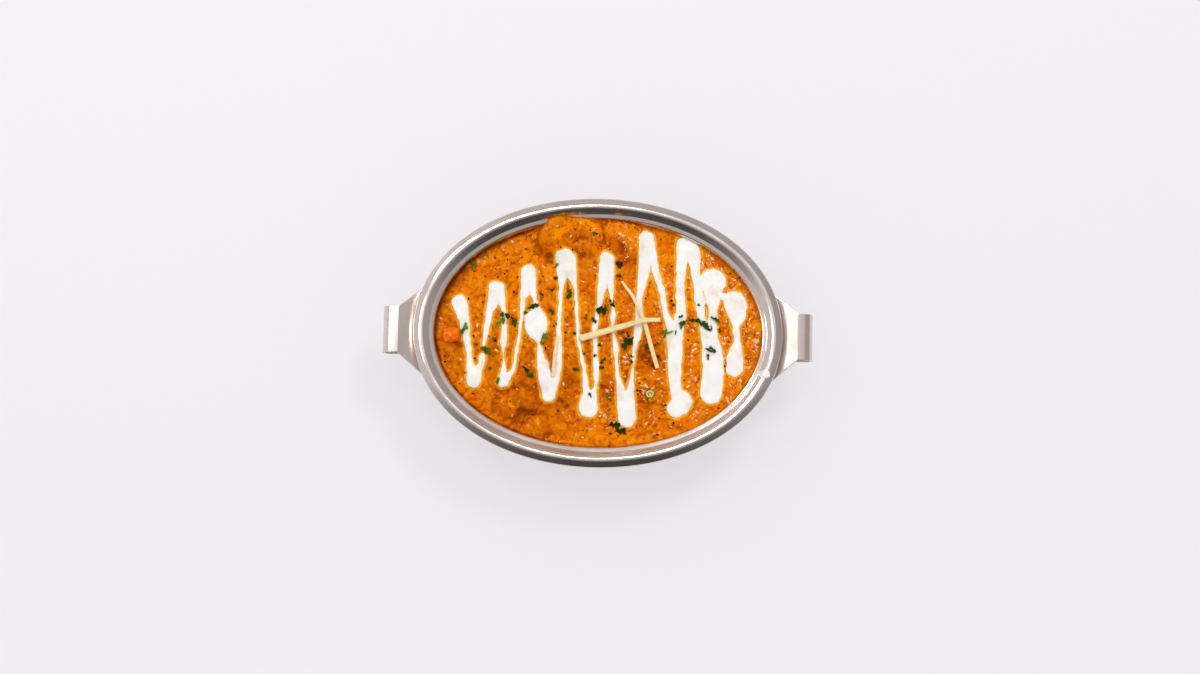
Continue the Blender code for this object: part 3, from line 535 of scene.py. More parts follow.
def cream_depth(x, y):
    """How far inside the edge of the cream a place is, in metres; outside it is below 0."""
    depth = np.full_like(x, -5 * MM)
    for run in CREAM_RUNS:
        path = smooth_path(np.array(run) * MM, 6)
        for start, end in zip(path, path[1:]):
            reach = max(start[2], end[2], THINNEST) + 3 * MM
            near = (
                (x > min(start[0], end[0]) - reach) & (x < max(start[0], end[0]) + reach)
                & (y > min(start[1], end[1]) - reach) & (y < max(start[1], end[1]) + reach)
            )
            if not near.any():
                continue
            px, py = x[near], y[near]
            dx, dy = end[0] - start[0], end[1] - start[1]
            t = np.clip(((px - start[0]) * dx + (py - start[1]) * dy) / (dx * dx + dy * dy + 1e-12), 0, 1)
            half = np.maximum(start[2] + (end[2] - start[2]) * t, THINNEST)
            inside = half - np.hypot(px - start[0] - t * dx, py - start[1] - t * dy)
            depth[near] = np.maximum(depth[near], inside)
    return depth


def poured_edge(x, y):
    """The same depth with the unevenness of a poured edge."""
    return cream_depth(x, y) + CREAM_WOBBLE * grain(x, y, 3.8 * MM, 41.0)


WAVE_HEIGHT = 0.45 * MM
WAVE_LENGTH = 9.5 * MM


def waves(x, y):
    """The low waves in the surface of the food, in metres."""
    return WAVE_HEIGHT * grain(x, y, WAVE_LENGTH, 11.0)


# The surface is a square net drawn onto the oval, which keeps it even right up to the wall. Its edge
# climbs the wall to wherever the sauce's height takes it, and reaches a little way into the sheet.
NET = (345, 245)
INTO_SHEET = 0.15 * MM
EDGE_UNEVEN = 0.25 * MM  # how far its edge wanders up and down the wall
BIT_SIZE, BIT_RISE = 6.2 * MM, 1.15 * MM  # of the soft bits of onion in the sauce
PEBBLE_SIZE, PEBBLE_RISE = 2.9 * MM, 1.05 * MM  # of the finer ones between them
DRAWN_SIZE, DRAWN = 11 * MM, 3.0 * MM  # of the wandering that draws both out of round
MIDDLE_NOISE = 0.25  # about the mean of the noise without its sign
turns = np.linspace(-math.pi, math.pi, 1441)
wall = profile[: np.argmax(profile[:, 1]) + 1]
edge_inset = np.full_like(turns, STEP_EDGE[0])
for _ in range(6):
    edge_x, edge_y = oval(turns, edge_inset)
    edge_height = smooth_body(edge_x, edge_y) + EDGE_UNEVEN * grain(edge_x, edge_y, 5 * MM, 7.0)
    edge_inset = 0.5 * edge_inset + 0.5 * np.interp(edge_height, wall[:, 1], wall[:, 0])
edge_x, edge_y = oval(turns, edge_inset - INTO_SHEET)

u, v = np.meshgrid(np.linspace(-1, 1, NET[0]), np.linspace(-1, 1, NET[1]), indexing="ij")
disc_x, disc_y = u * np.sqrt(1 - v * v / 2), v * np.sqrt(1 - u * u / 2)
share, turn = np.hypot(disc_x, disc_y), np.arctan2(disc_y, disc_x)
sauce_x, sauce_y = share * np.interp(turn, turns, edge_x), share * np.interp(turn, turns, edge_y)

under_cream = np.clip((cream_depth(sauce_x, sauce_y) + 0.3 * MM) / (1.1 * MM), 0, 1)
pebbly = 0.35 + 0.65 * np.clip(0.25 + grain(sauce_x, sauce_y, 26 * MM, 3.0) + sauce_x / (80 * MM), 0, 1)
drawn_x = sauce_x + DRAWN * grain(sauce_x, sauce_y, DRAWN_SIZE, 13.0)
drawn_y = sauce_y + DRAWN * grain(sauce_x, sauce_y, DRAWN_SIZE, 14.0)
relief = (
    BIT_RISE * (np.abs(grain(drawn_x, drawn_y, BIT_SIZE, 17.0)) - MIDDLE_NOISE)
    + PEBBLE_RISE * pebbly * (np.abs(grain(drawn_x, drawn_y, PEBBLE_SIZE, 23.0)) - MIDDLE_NOISE)
)
sauce_z = smooth_body(sauce_x, sauce_y) + waves(sauce_x, sauce_y) + relief * (1 - 0.9 * under_cream)

# What the sauce's colours follow: its hollows, where shade is painted, the band by the wall, the edge
# of the cream, and where it is painted darker, at one side and as shade by its folds. The specks follow
# where it is bare; the pale grains that stand for painted highlights follow that and how grainy it is.
# A band along the steel: dark brown at the left as painted shade where the sauce meets the wall.
WALL_BAND_WIDTH, WALL_BAND_MORE = 1.3, 3.6  # in mm; it is widest at the far left
WALL_BAND_WIDEST, WALL_BAND_SPREAD = math.radians(148), math.radians(26)
HOLLOW_DEPTH = 0.40 * MM
# Painted shade in the hollows: how far a place lies below its smoothed surroundings.
surrounding = sauce_z
for _ in range(30):
    wide = np.pad(surrounding, 1, mode="edge")
    surrounding = (wide[:-2, 1:-1] + wide[2:, 1:-1] + wide[1:-1, :-2] + wide[1:-1, 2:]) / 4
wall_band_width = (WALL_BAND_WIDTH + WALL_BAND_MORE * np.exp(-(((turn - WALL_BAND_WIDEST) / WALL_BAND_SPREAD) ** 2))) * MM
wall_band_width *= 1 + 0.8 * grain(sauce_x, sauce_y, 4 * MM, 37.0)
bare = np.where(share < 0.985, 1 - np.clip(under_cream * 3, 0, 1), 0)
clumps = np.clip(0.5 + 1.6 * grain(sauce_x, sauce_y, 7 * MM, 31.0), 0, 1)
far_right = 1 + 2.6 * np.clip((sauce_x + 0.3 * sauce_y - 48 * MM) / (30 * MM), 0, 1)
surface_values = {
    "hollow": np.clip((surrounding - sauce_z) / HOLLOW_DEPTH * 0.5 + 0.5, 0, 1),
    "by_wall": np.clip(1 - (1 - share) * HALF_WIDTH / wall_band_width, 0, 1),
    "by_cream": np.clip(1.25 + poured_edge(sauce_x, sauce_y) / (0.75 * MM), 0, 1),
    "bare": bare,
    # Where the pale grains that stand for painted highlights lie, and how thickly.
    "grainy": bare * clumps * np.clip((pebbly - 0.3) / 0.55, 0.08, 1) * far_right,
    "browned": darker_side_and_fold_shade(sauce_x, sauce_y),
}

# Oil and cream in the sauce make it orange and wet. Painted shade darkens it in the hollows and by its
# folds, and it is darker to the left and front of its middle. Along the steel runs a band, dark brown at
# the left as painted shade where the sauce meets the wall, going over to yellow at the right. Where the
# cream meets it, the two have mixed to a thin yellow line. Its grain is about 2 mm.
GRAIN = 2.2 * MM


def stained(tree, base, pattern, colour, start=0.0, full=1.0, most=1.0):
    """A colour laid over a base, from none of it where the pattern is at start to the most at full."""
    share = add_node(
        tree, "ShaderNodeMapRange", {"Value": pattern, "From Min": start, "From Max": full, "To Max": most}
    )
    return add_node(tree, "ShaderNodeMix", {0: share, 6: base, 7: colour}, data_type="RGBA")


def build_sauce_material(name, light, middle, deep, hollow_shade):
    """Wet sauce, mottled from the light colour to the deep one, with the last colour painted as shade in its
    hollows and by its folds, and darker at one side.
    """
    material, tree = new_material(name)
    place = add_node(tree, "ShaderNodeTexCoord").outputs["Object"]
    broad = add_node(tree, "ShaderNodeTexNoise", {"Vector": place, "Scale": 1 / (9 * MM), "Detail": 3.0})
    fine = add_node(tree, "ShaderNodeTexNoise", {"Vector": place, "Scale": 1 / GRAIN, "Detail": 5.0})
    pebbles = add_node(tree, "ShaderNodeTexNoise", {"Vector": place, "Scale": 1 / GRAIN, "Detail": 3.0})
    hollow, by_wall, by_cream, browned = (
        add_node(tree, "ShaderNodeAttribute", attribute_name=attribute).outputs["Fac"]
        for attribute in ("hollow", "by_wall", "by_cream", "browned")
    )
    across = add_node(tree, "ShaderNodeSeparateXYZ", {0: place}).outputs["X"]
    # The band by the wall: painted shade in dark brown at the left, going over to yellow at the right.
    wall_band_colour = stained(tree, "4A2208", across, "D9922A", -45 * MM, 25 * MM)
    colour = middle
    for pattern, layer, start, full, most in (
        (broad, light, 0.38, 0.62, 1.0), (fine, "FFA010", 0.54, 0.66, 0.5), (fine, deep, 0.46, 0.35, 0.6),
        # The last colour is painted shade in the hollows and by the folds, and darkens one side as well.
        (hollow, hollow_shade, 0.55, 1.0, 0.55), (browned, hollow_shade, 0.0, 1.0, 0.52), (by_wall, wall_band_colour, 0.0, 1.0, 0.85),
        (by_cream, "FFD050", 0.0, 1.0, 0.95),
    ):
        colour = stained(tree, colour, pattern, layer, start, full, most)
    wet = add_node(tree, "ShaderNodeMapRange", {
        "Value": broad, "From Min": 0.35, "From Max": 0.65, "To Min": 0.16, "To Max": 0.07,
    })
    bumps = add_node(tree, "ShaderNodeBump", {"Height": pebbles, "Strength": 0.8, "Distance": 0.35 * MM})
    shader = add_node(tree, "ShaderNodeBsdfPrincipled", {
        "Base Color": colour, "Roughness": wet, "IOR": 1.46, "Specular IOR Level": 0.16,
        "Specular Tint": "FFE6D8", "Normal": bumps,
    })
    add_node(tree, "ShaderNodeOutputMaterial", {"Surface": shader})
    return material


def face_outwards(piece):
    """Turns every face of a closed piece outwards."""
    bm = bmesh.new()
    bm.from_mesh(piece.data)
    bmesh.ops.recalc_face_normals(bm, faces=bm.faces)
    bm.to_mesh(piece.data)
    bm.free()


# The sauce's own skin goes on down inside the wall to the base, so that it is one closed solid.
SKIRT_GAP = 0.42 * MM
SKIRT_HEIGHTS = (33.0 * MM, 20.0 * MM, BASE_CORNER + SHEET, 4.0 * MM, SHEET + SKIRT_GAP)
rim_index = (
    [i * NET[1] for i in range(NET[0])] + [(NET[0] - 1) * NET[1] + j for j in range(1, NET[1])]
    + [i * NET[1] + NET[1] - 1 for i in range(NET[0] - 2, -1, -1)] + list(range(NET[1] - 2, 0, -1))
)
rim_turn = turn.reshape(-1)[rim_index]
points, faces = [np.stack([sauce_x, sauce_y, sauce_z], axis=-1).reshape(-1, 3)], grid_faces(*NET)
last_ring = rim_index
for height in SKIRT_HEIGHTS:
    x, y = oval(rim_turn, np.interp(height, wall[:, 1], wall[:, 0]) + SKIRT_GAP)
    first = sum(map(len, points))
    ring = list(range(first, first + len(rim_index)))
    points.append(np.stack([x, y, np.full_like(x, height)], axis=-1))
    for i in range(len(ring)):
        j = (i + 1) % len(ring)
        faces.append([last_ring[i], ring[i], ring[j], last_ring[j]])
    last_ring = ring
faces.append(last_ring[::-1])
masala_sauce = build_sauce_material("oily_masala_sauce", "FAA004", "EE8A00", "C46400", "903C00")
masala = new_piece("masala_sauce", np.vstack(points), faces, masala_sauce)
face_outwards(masala)
for name, values in surface_values.items():
    filled = np.zeros(len(masala.data.vertices), dtype=np.float32)
    filled[: values.size] = values.ravel()
    masala.data.attributes.new(name, "FLOAT", "POINT").data.foreach_set("value", filled)
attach(masala, "root")
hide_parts("curry")

# ---------------------------------------------------------------------------------------------------
# The prawns: peeled, curled and cooked in the sauce, which coats them. Only their backs come through
# it, where they are piled against the wall and along the front, with five segments as shallow ribs.

coated_prawn = build_sauce_material("prawn_coated_in_masala", "FCA004", "F08C00", "C46602", "963F00")
PRAWN_SIDES = 36
PRAWN_RINGS = 81
RIB_DEPTH = 0.03  # a share of the body's radius
END_TURNS = np.radians((18, 36, 54, 72, 86))  # the rings that round off each end
END_BULGE = 0.8
COAT_SIZE, COAT_RISE = 5.0 * MM, 0.34 * MM  # of the unevenness of the sauce on it
CRUMB_SIZE, CRUMB_RISE = 2.4 * MM, 0.50 * MM
COAT_SUNK = 0.25 * MM


def tube(name, rings, surface):
    """A closed tube through rings of points, flat at both ends."""
    count, sides = rings.shape[:2]
    faces = grid_faces(count, sides, wrap=True)
    faces += [list(range(sides)), list(range((count - 1) * sides, count * sides))[::-1]]
    piece = new_piece(name, rings, faces, surface)
    face_outwards(piece)
    return piece


for number, (name, values) in enumerate(PRAWNS.items()):
    path = prawn_stations(*values, count=PRAWN_RINGS)
    tangent = np.gradient(path[:, :2], axis=0)
    tangent /= np.linalg.norm(tangent, axis=1)[:, None]
    ribs = 1 + RIB_DEPTH * np.cos(2 * math.pi * PRAWN_SEGMENTS * np.linspace(0, 1, PRAWN_RINGS))
    around_body = 2 * math.pi * np.arange(PRAWN_SIDES) / PRAWN_SIDES
    rings = []
    for (x, y, z, radius), (tx, ty), rib in zip(path, tangent, ribs):
        out, up = np.cos(around_body) * radius * rib, np.sin(around_body) * radius * rib * PRAWN_FLATTEN
        rings.append(np.stack([x + ty * out, y - tx * out, z + up], axis=-1))
    rings = np.array(rings)
    for end, inner in ((0, 1), (-1, -2)):
        middle = path[end, :3]
        run_out = (middle - path[inner, :3]) / np.linalg.norm(middle - path[inner, :3])
        cap = [
            middle + (rings[end] - middle) * math.cos(a) + run_out * path[end, 3] * END_BULGE * math.sin(a)
            for a in END_TURNS
        ]
        rings = np.concatenate([np.array(cap[::-1]), rings] if end == 0 else [rings, np.array(cap)])
    rough_x, rough_y = rings[:, :, 0], rings[:, :, 1] + rings[:, :, 2]
    lift = (
        COAT_RISE * grain(rough_x, rough_y, COAT_SIZE, 60.0 + number)
        + CRUMB_RISE * (np.abs(grain(rough_x, rough_y, CRUMB_SIZE, 70.0 + number)) - 0.3)
    )
    outward = rings - rings.mean(axis=1, keepdims=True)
    outward /= np.linalg.norm(outward, axis=2, keepdims=True) + 1e-9
    prawn = tube(f"coated_{name}", rings + outward * (lift[:, :, None] - COAT_SUNK), coated_prawn)
    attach(prawn, "root")
    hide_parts(name)

# ---------------------------------------------------------------------------------------------------
# The cream: thick single cream poured from a spoon in one long zigzag, so it has round blobs where the
# hand turned and thin threads between. It stands a little proud, and oil stains its very edge orange.

CREAM_NET = 0.42 * MM
CREAM_RISE = 1.25 * MM
CREAM_SHOULDER = 2.3 * MM  # how far in from its edge the cream reaches its full height
CREAM_SUNK = 0.5 * MM
CREAM_LIP = 0.12 * MM  # how far it stands over the sauce just inside its edge
OUTLINE_SUNK = 0.05 * MM
OUTLINE_SLIDE = 0.6 * MM  # how far a point of the net may move to lie on the edge
EDGE_STAIN = 0.9 * MM  # how far in the oil has stained it
CREAM_BRIDGE = [(dx * MM, dy * MM) for dx, dy in ((3, 0), (-3, 0), (0, 3), (0, -3), (0, 6), (0, -6))]

# Cream is white with a touch of yellow, soft and slightly translucent, and wet.
thick_cream, tree = new_material("thick_cream")
edge_share = add_node(tree, "ShaderNodeAttribute", attribute_name="edge").outputs["Fac"]
place = add_node(tree, "ShaderNodeTexCoord").outputs["Object"]
marbled = add_node(tree, "ShaderNodeTexNoise", {"Vector": place, "Scale": 1 / (7 * MM), "Detail": 3.0})
white = add_node(tree, "ShaderNodeMix", {0: marbled, 6: "F8F5EE", 7: "FEFCF8"}, data_type="RGBA")
mixed_in = stained(tree, white, marbled, "F0E0CC", 0.56, 0.68, 0.6)
shader = add_node(tree, "ShaderNodeBsdfPrincipled", {
    "Base Color": stained(tree, mixed_in, edge_share, "FFC44C", 0.2, 0.8), "Roughness": 0.32,
    "Specular IOR Level": 0.25, "Subsurface Weight": 0.15, "Subsurface Radius": (1.0, 0.8, 0.5),
    "Subsurface Scale": 0.8 * MM,
})
add_node(tree, "ShaderNodeOutputMaterial", {"Surface": shader})

grid_x, grid_y = np.meshgrid(
    np.arange(-84 * MM, 84 * MM, CREAM_NET), np.arange(-54 * MM, 60 * MM, CREAM_NET), indexing="ij"
)
depth = poured_edge(grid_x, grid_y)
inside = depth > 0
cell = inside[:-1, :-1] | inside[1:, :-1] | inside[1:, 1:] | inside[:-1, 1:]
slope_x, slope_y = np.gradient(depth, CREAM_NET)
steep = np.maximum(np.hypot(slope_x, slope_y), 0.4)
shift = np.where(inside, 0.0, depth) / steep**2
cream_x = grid_x + np.clip(-shift * slope_x, -OUTLINE_SLIDE, OUTLINE_SLIDE)
cream_y = grid_y + np.clip(-shift * slope_y, -OUTLINE_SLIDE, OUTLINE_SLIDE)
used = np.zeros_like(inside)
for part in (used[:-1, :-1], used[1:, :-1], used[1:, 1:], used[:-1, 1:]):
    part |= cell
inwards = np.clip(depth[used], 0, CREAM_SHOULDER) / CREAM_SHOULDER
at_x, at_y = cream_x[used], cream_y[used]
level = smooth_body(at_x, at_y)
spread = [smooth_body(at_x + dx, at_y + dy) for dx, dy in CREAM_BRIDGE]
level += (np.mean([level, *spread], axis=0) - level) * inwards
level += waves(at_x, at_y)
thick = CREAM_RISE * (1 + 0.16 * grain(at_x, at_y, 9 * MM, 51.0))
crown = np.sqrt(np.clip(1 - (1 - inwards) ** 2, 0, 1))
cream_top = level + np.where(inside[used], CREAM_LIP + thick * crown, -OUTLINE_SUNK)
cream_foot = level - np.where(inside[used], CREAM_SUNK, OUTLINE_SUNK)

numbers = np.full(inside.shape, -1)
numbers[used] = np.arange(used.sum())
lower = numbers.copy()  # the two skins share the points of the outline
lower[inside] = used.sum() + np.arange(inside.sum())
ci, cj = np.nonzero(cell)
corners = ((ci, cj), (ci + 1, cj), (ci + 1, cj + 1), (ci, cj + 1))
faces = np.stack([numbers[c] for c in corners], axis=-1).tolist()
faces += np.stack([lower[c] for c in corners[::-1]], axis=-1).tolist()
points = np.concatenate([
    np.stack([at_x, at_y, cream_top], axis=-1),
    np.stack([cream_x[inside], cream_y[inside], cream_foot[inside[used]]], axis=-1),
])
cream = new_piece("poured_cream", points, faces, thick_cream)
edge = np.concatenate([1 - np.clip(depth[used] / EDGE_STAIN, 0, 1), np.ones(inside.sum())])
cream.data.attributes.new("edge", "FLOAT", "POINT").data.foreach_set("value", edge.astype(np.float32))
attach(cream, "root")
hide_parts("curry")

# A drop of the cream fell on the inner side of the rim and clings to it, drawn out down the collar.
DROP_PLACE = (90.3, -21.2)  # x, y in mm
DROP_HALF = (2.9, 2.5)  # half its length down the rim and half its width along it, in mm
DROP_THICK = 0.8 * MM
DROP_GAP = 0.03 * MM
DROP_NET = (20, 48)
downhill = math.atan2(DROP_PLACE[1], DROP_PLACE[0]) * 1.25
inwards_x, inwards_y = -math.cos(downhill), -math.sin(downhill)
rim_angles = np.linspace(-math.pi / 2, math.pi / 2, 721)
insets = np.linspace(2.5 * MM, 11 * MM, 120)
near_x, near_y = oval(rim_angles[None, :], insets[:, None])
above_base = profile[CORNER_STEPS : np.argmin(profile[:, 0])]


def rim_height(x, y):
    """Height of the dish's upper side by the rim."""
    k = np.argmin((near_x - x) ** 2 + (near_y - y) ** 2)
    inset = insets[k // len(rim_angles)]
    return float(np.interp(-inset, -above_base[:, 0], above_base[:, 1]))


def piece_from_bmesh(name, bm, surface=None, smooth=True):
    """An object of a bmesh's faces. It is put in the scene if it has a surface."""
    mesh = bpy.data.meshes.new(name)
    bm.to_mesh(mesh)
    bm.free()
    if smooth:
        mesh.shade_smooth()
    piece = bpy.data.objects.new(name, mesh)
    if surface:
        mesh.materials.append(surface)
        bpy.context.scene.collection.objects.link(piece)
    return piece


points = []
for side in (1, -0.3):  # the side that faces up, then the one that lies on the steel
    for share_out in np.linspace(0, 1, DROP_NET[0]):
        thick = side * DROP_THICK * math.sqrt(max(0.0, 1 - share_out**2))
        for a in 2 * math.pi * np.arange(DROP_NET[1]) / DROP_NET[1]:
            wobble = 1 + 0.07 * math.sin(2 * a + 0.6) + 0.05 * math.sin(3 * a)
            down = share_out * math.cos(a) * DROP_HALF[0] * wobble * MM
            along = share_out * math.sin(a) * DROP_HALF[1] * wobble * MM
            x = DROP_PLACE[0] * MM + inwards_x * down - inwards_y * along
            y = DROP_PLACE[1] * MM + inwards_y * down + inwards_x * along
            points.append((x, y, rim_height(x, y) + DROP_GAP + thick))
bm = bmesh.new()
verts = [bm.verts.new(point) for point in points]
for quad in grid_faces(*DROP_NET, wrap=True):
    bm.faces.new([verts[i] for i in quad])
    bm.faces.new([verts[i + len(points) // 2] for i in quad[::-1]])
bmesh.ops.remove_doubles(bm, verts=bm.verts, dist=0.004 * MM)
bmesh.ops.recalc_face_normals(bm, faces=bm.faces)
cream_splash = piece_from_bmesh("cream_splash", bm, thick_cream)
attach(cream_splash, "root")
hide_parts("cream_drop")

# ---------------------------------------------------------------------------------------------------
# A piece of tomato, cooked soft: a blunt chunk with its red skin up, sunk to its middle in the sauce at
# the left. Its flesh is a little brighter and redder than the sauce.

TOMATO_MIDDLE = Vector((-79.6, -2.4, 36.0))  # in mm, as are its half sizes
TOMATO_HALF = Vector((5.2, 4.1, 2.4))
TOMATO_TURN = Matrix.Rotation(math.radians(10), 3, "Z")
TOMATO_BLUNT = 2.5  # how far from a round lump to a block it is, where 2 is round

# Cooked tomato is wet, and mottled in red and orange.
soft_tomato, tree = new_material("soft_cooked_tomato")
place = add_node(tree, "ShaderNodeTexCoord").outputs["Object"]
flesh = add_node(tree, "ShaderNodeTexNoise", {"Vector": place, "Scale": 1 / (2 * MM), "Detail": 4.0})
shader = add_node(tree, "ShaderNodeBsdfPrincipled", {
    "Base Color": stained(tree, "F07014", flesh, "FA9A2E", 0.35, 0.65), "Roughness": 0.2,
    "Specular IOR Level": 0.16,
    "Normal": add_node(tree, "ShaderNodeBump", {"Height": flesh, "Strength": 0.4, "Distance": 0.3 * MM}),
})
add_node(tree, "ShaderNodeOutputMaterial", {"Surface": shader})


def shaped_ball(name, subdivisions, shape, surface=None, smooth=True):
    """A closed lump: shape says where a point goes that is this way from the middle."""
    bm = bmesh.new()
    bmesh.ops.create_icosphere(bm, subdivisions=subdivisions, radius=1.0)
    for vert in bm.verts:
        vert.co = shape(vert.co.normalized())
    return piece_from_bmesh(name, bm, surface, smooth)


def tomato_shape(way):
    blunt = sum(abs(part) ** TOMATO_BLUNT for part in way) ** (-1 / TOMATO_BLUNT)
    uneven = 1 + 0.16 * noise.noise(way * 1.7) + 0.10 * abs(noise.noise(way * 4.0))
    return (TOMATO_TURN @ (way * TOMATO_HALF * blunt * uneven * 0.92) + TOMATO_MIDDLE) * MM


tomato = shaped_ball("tomato_chunk", 5, tomato_shape, soft_tomato)
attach(tomato, "root")
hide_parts("tomato_piece")

# ---------------------------------------------------------------------------------------------------
# Ginger: fresh root cut into square shreds, laid on last. Two cross in the middle, the upper one bent
# where it goes over the lower, and a thin one lies in the cream and has taken up its stain.

GINGER = {  # x, y and height of places along each shred, then its half width there, in mm
    "ginger_cross": (
        (-9.4, -3.2, 38.0, 1.8), (-0.5, -0.5, 38.3, 1.75), (7.6, 2.0, 38.6, 1.6), (15.5, 4.3, 39.4, 1.45),
        (23.4, 6.7, 40.4, 1.3), (28.5, 7.3, 40.0, 1.2), (33.5, 7.7, 38.8, 1.1),
    ),
    "ginger_under": (
        (12.6, 28.4, 37.8, 0.55), (15.0, 25.0, 38.1, 0.8), (18.4, 20.6, 38.3, 0.9), (22.2, 13.0, 38.5, 1.05),
        (25.4, 5.4, 38.5, 1.15), (28.6, -5.6, 38.1, 1.15), (32.5, -18.4, 37.5, 1.15),
    ),
    "ginger_in_cream": (
        (-21.6, -2.2, 37.8, 0.8), (-22.4, -8.0, 37.9, 1.05), (-23.0, -12.6, 37.9, 1.15),
        (-23.8, -24.2, 37.5, 1.0),
    ),
}
GINGER_FLATTEN = 0.62
GINGER_SIDES = 20
GINGER_BOXY = 5.0  # how square the cut section is
GINGER_WEAR = 0.10  # how uneven its sides are, as a share of its width
BLUNT_END = (0.86, 0.22 * MM)  # an end's width as a share of the shred's, and how far it stands out
FIBRE = 0.35 * MM  # the root's fibres are about 0.1 mm apart, and drawn coarser


def build_ginger_material(name, pale, deep, stain):
    """Moist ginger with fibres along the cut."""
    material, tree = new_material(name)
    along_cut = add_node(tree, "ShaderNodeUVMap", uv_map="UVMap")
    drawn_out = add_node(tree, "ShaderNodeMapping", {"Vector": along_cut, "Scale": (140.0, 1 / FIBRE, 1.0)})
    fibres = add_node(tree, "ShaderNodeTexNoise", {"Vector": drawn_out, "Scale": 1.0, "Detail": 3.0})
    place = add_node(tree, "ShaderNodeTexCoord").outputs["Object"]
    blotches = add_node(tree, "ShaderNodeTexNoise", {"Vector": place, "Scale": 1 / (3 * MM), "Detail": 2.0})
    flesh = stained(tree, deep, fibres, pale, 0.35, 0.65)
    lines = add_node(tree, "ShaderNodeBump", {"Height": fibres, "Strength": 0.4, "Distance": 0.15 * MM})
    shader = add_node(tree, "ShaderNodeBsdfPrincipled", {
        "Base Color": stained(tree, flesh, blotches, stain, 0.55, 0.75, 0.5), "Roughness": 0.42,
        "Specular IOR Level": 0.2, "Subsurface Weight": 0.1, "Subsurface Radius": (1.0, 0.7, 0.3),
        "Subsurface Scale": 0.6 * MM, "Normal": lines,
    })
    add_node(tree, "ShaderNodeOutputMaterial", {"Surface": shader})
    return material


# Fresh ginger is a pale yellow; the soaked shred is pinker and more even.
fresh_ginger = build_ginger_material("fresh_cut_ginger", "FBEFC8", "F0D79C", "E6BC70")
soaked_ginger = build_ginger_material("ginger_soaked_in_sauce", "FBEAD0", "F2D0A0", "E6B47C")
angle = 2 * math.pi * (np.arange(GINGER_SIDES) + 0.5) / GINGER_SIDES
square = (np.abs(np.cos(angle)) ** GINGER_BOXY + np.abs(np.sin(angle)) ** GINGER_BOXY) ** (-1 / GINGER_BOXY)
across, high = np.cos(angle) * square, np.sin(angle) * square * GINGER_FLATTEN
for number, (name, places) in enumerate(GINGER.items()):
    path = smooth_path(np.array(places) * MM, 10)
    middle, half = path[:, None, :3], path[:, None, 3:]
    tangent = np.gradient(path[:, :3], axis=0)
    tangent /= np.linalg.norm(tangent, axis=1)[:, None]
    sideways = np.cross(tangent, (0.0, 0.0, 1.0))
    sideways /= np.linalg.norm(sideways, axis=1)[:, None]
    upwards = np.cross(sideways, tangent)
    rings = (
        middle + sideways[:, None] * (across[None, :, None] * half)
        + upwards[:, None] * (high[None, :, None] * half)
    )
    wear = grain(rings[:, :, 0] + rings[:, :, 2], rings[:, :, 1], 2.6 * MM, 90.0 + number)
    rings += (rings - middle) * wear[:, :, None] * GINGER_WEAR
    narrower, out = BLUNT_END
    first, last = (
        path[i, :3] + (rings[i] - path[i, :3]) * narrower + tangent[i] * run_out
        for i, run_out in ((0, -out), (-1, out))
    )
    rings = np.concatenate([[first], rings, [last]])
    surface = soaked_ginger if name == "ginger_in_cream" else fresh_ginger
    shred = tube(name.replace("ginger", "ginger_shred"), rings, surface)
    run = run_along(rings.mean(axis=1))
    set_uv(shred, np.repeat(run, GINGER_SIDES), np.tile(np.sin(angle) * 4 * MM, len(rings)))
    shred.data.set_sharp_from_angle(angle=math.radians(60))
    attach(shred, "root")
    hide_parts(name)

# ---------------------------------------------------------------------------------------------------
# Coriander: chopped leaf and stem, strewn by hand. Cuts of 2 to 5 mm lie singly and in small heaps.
# Geometry Nodes lay one of four cuts at each place, drop it onto the food and lean it with the surface.

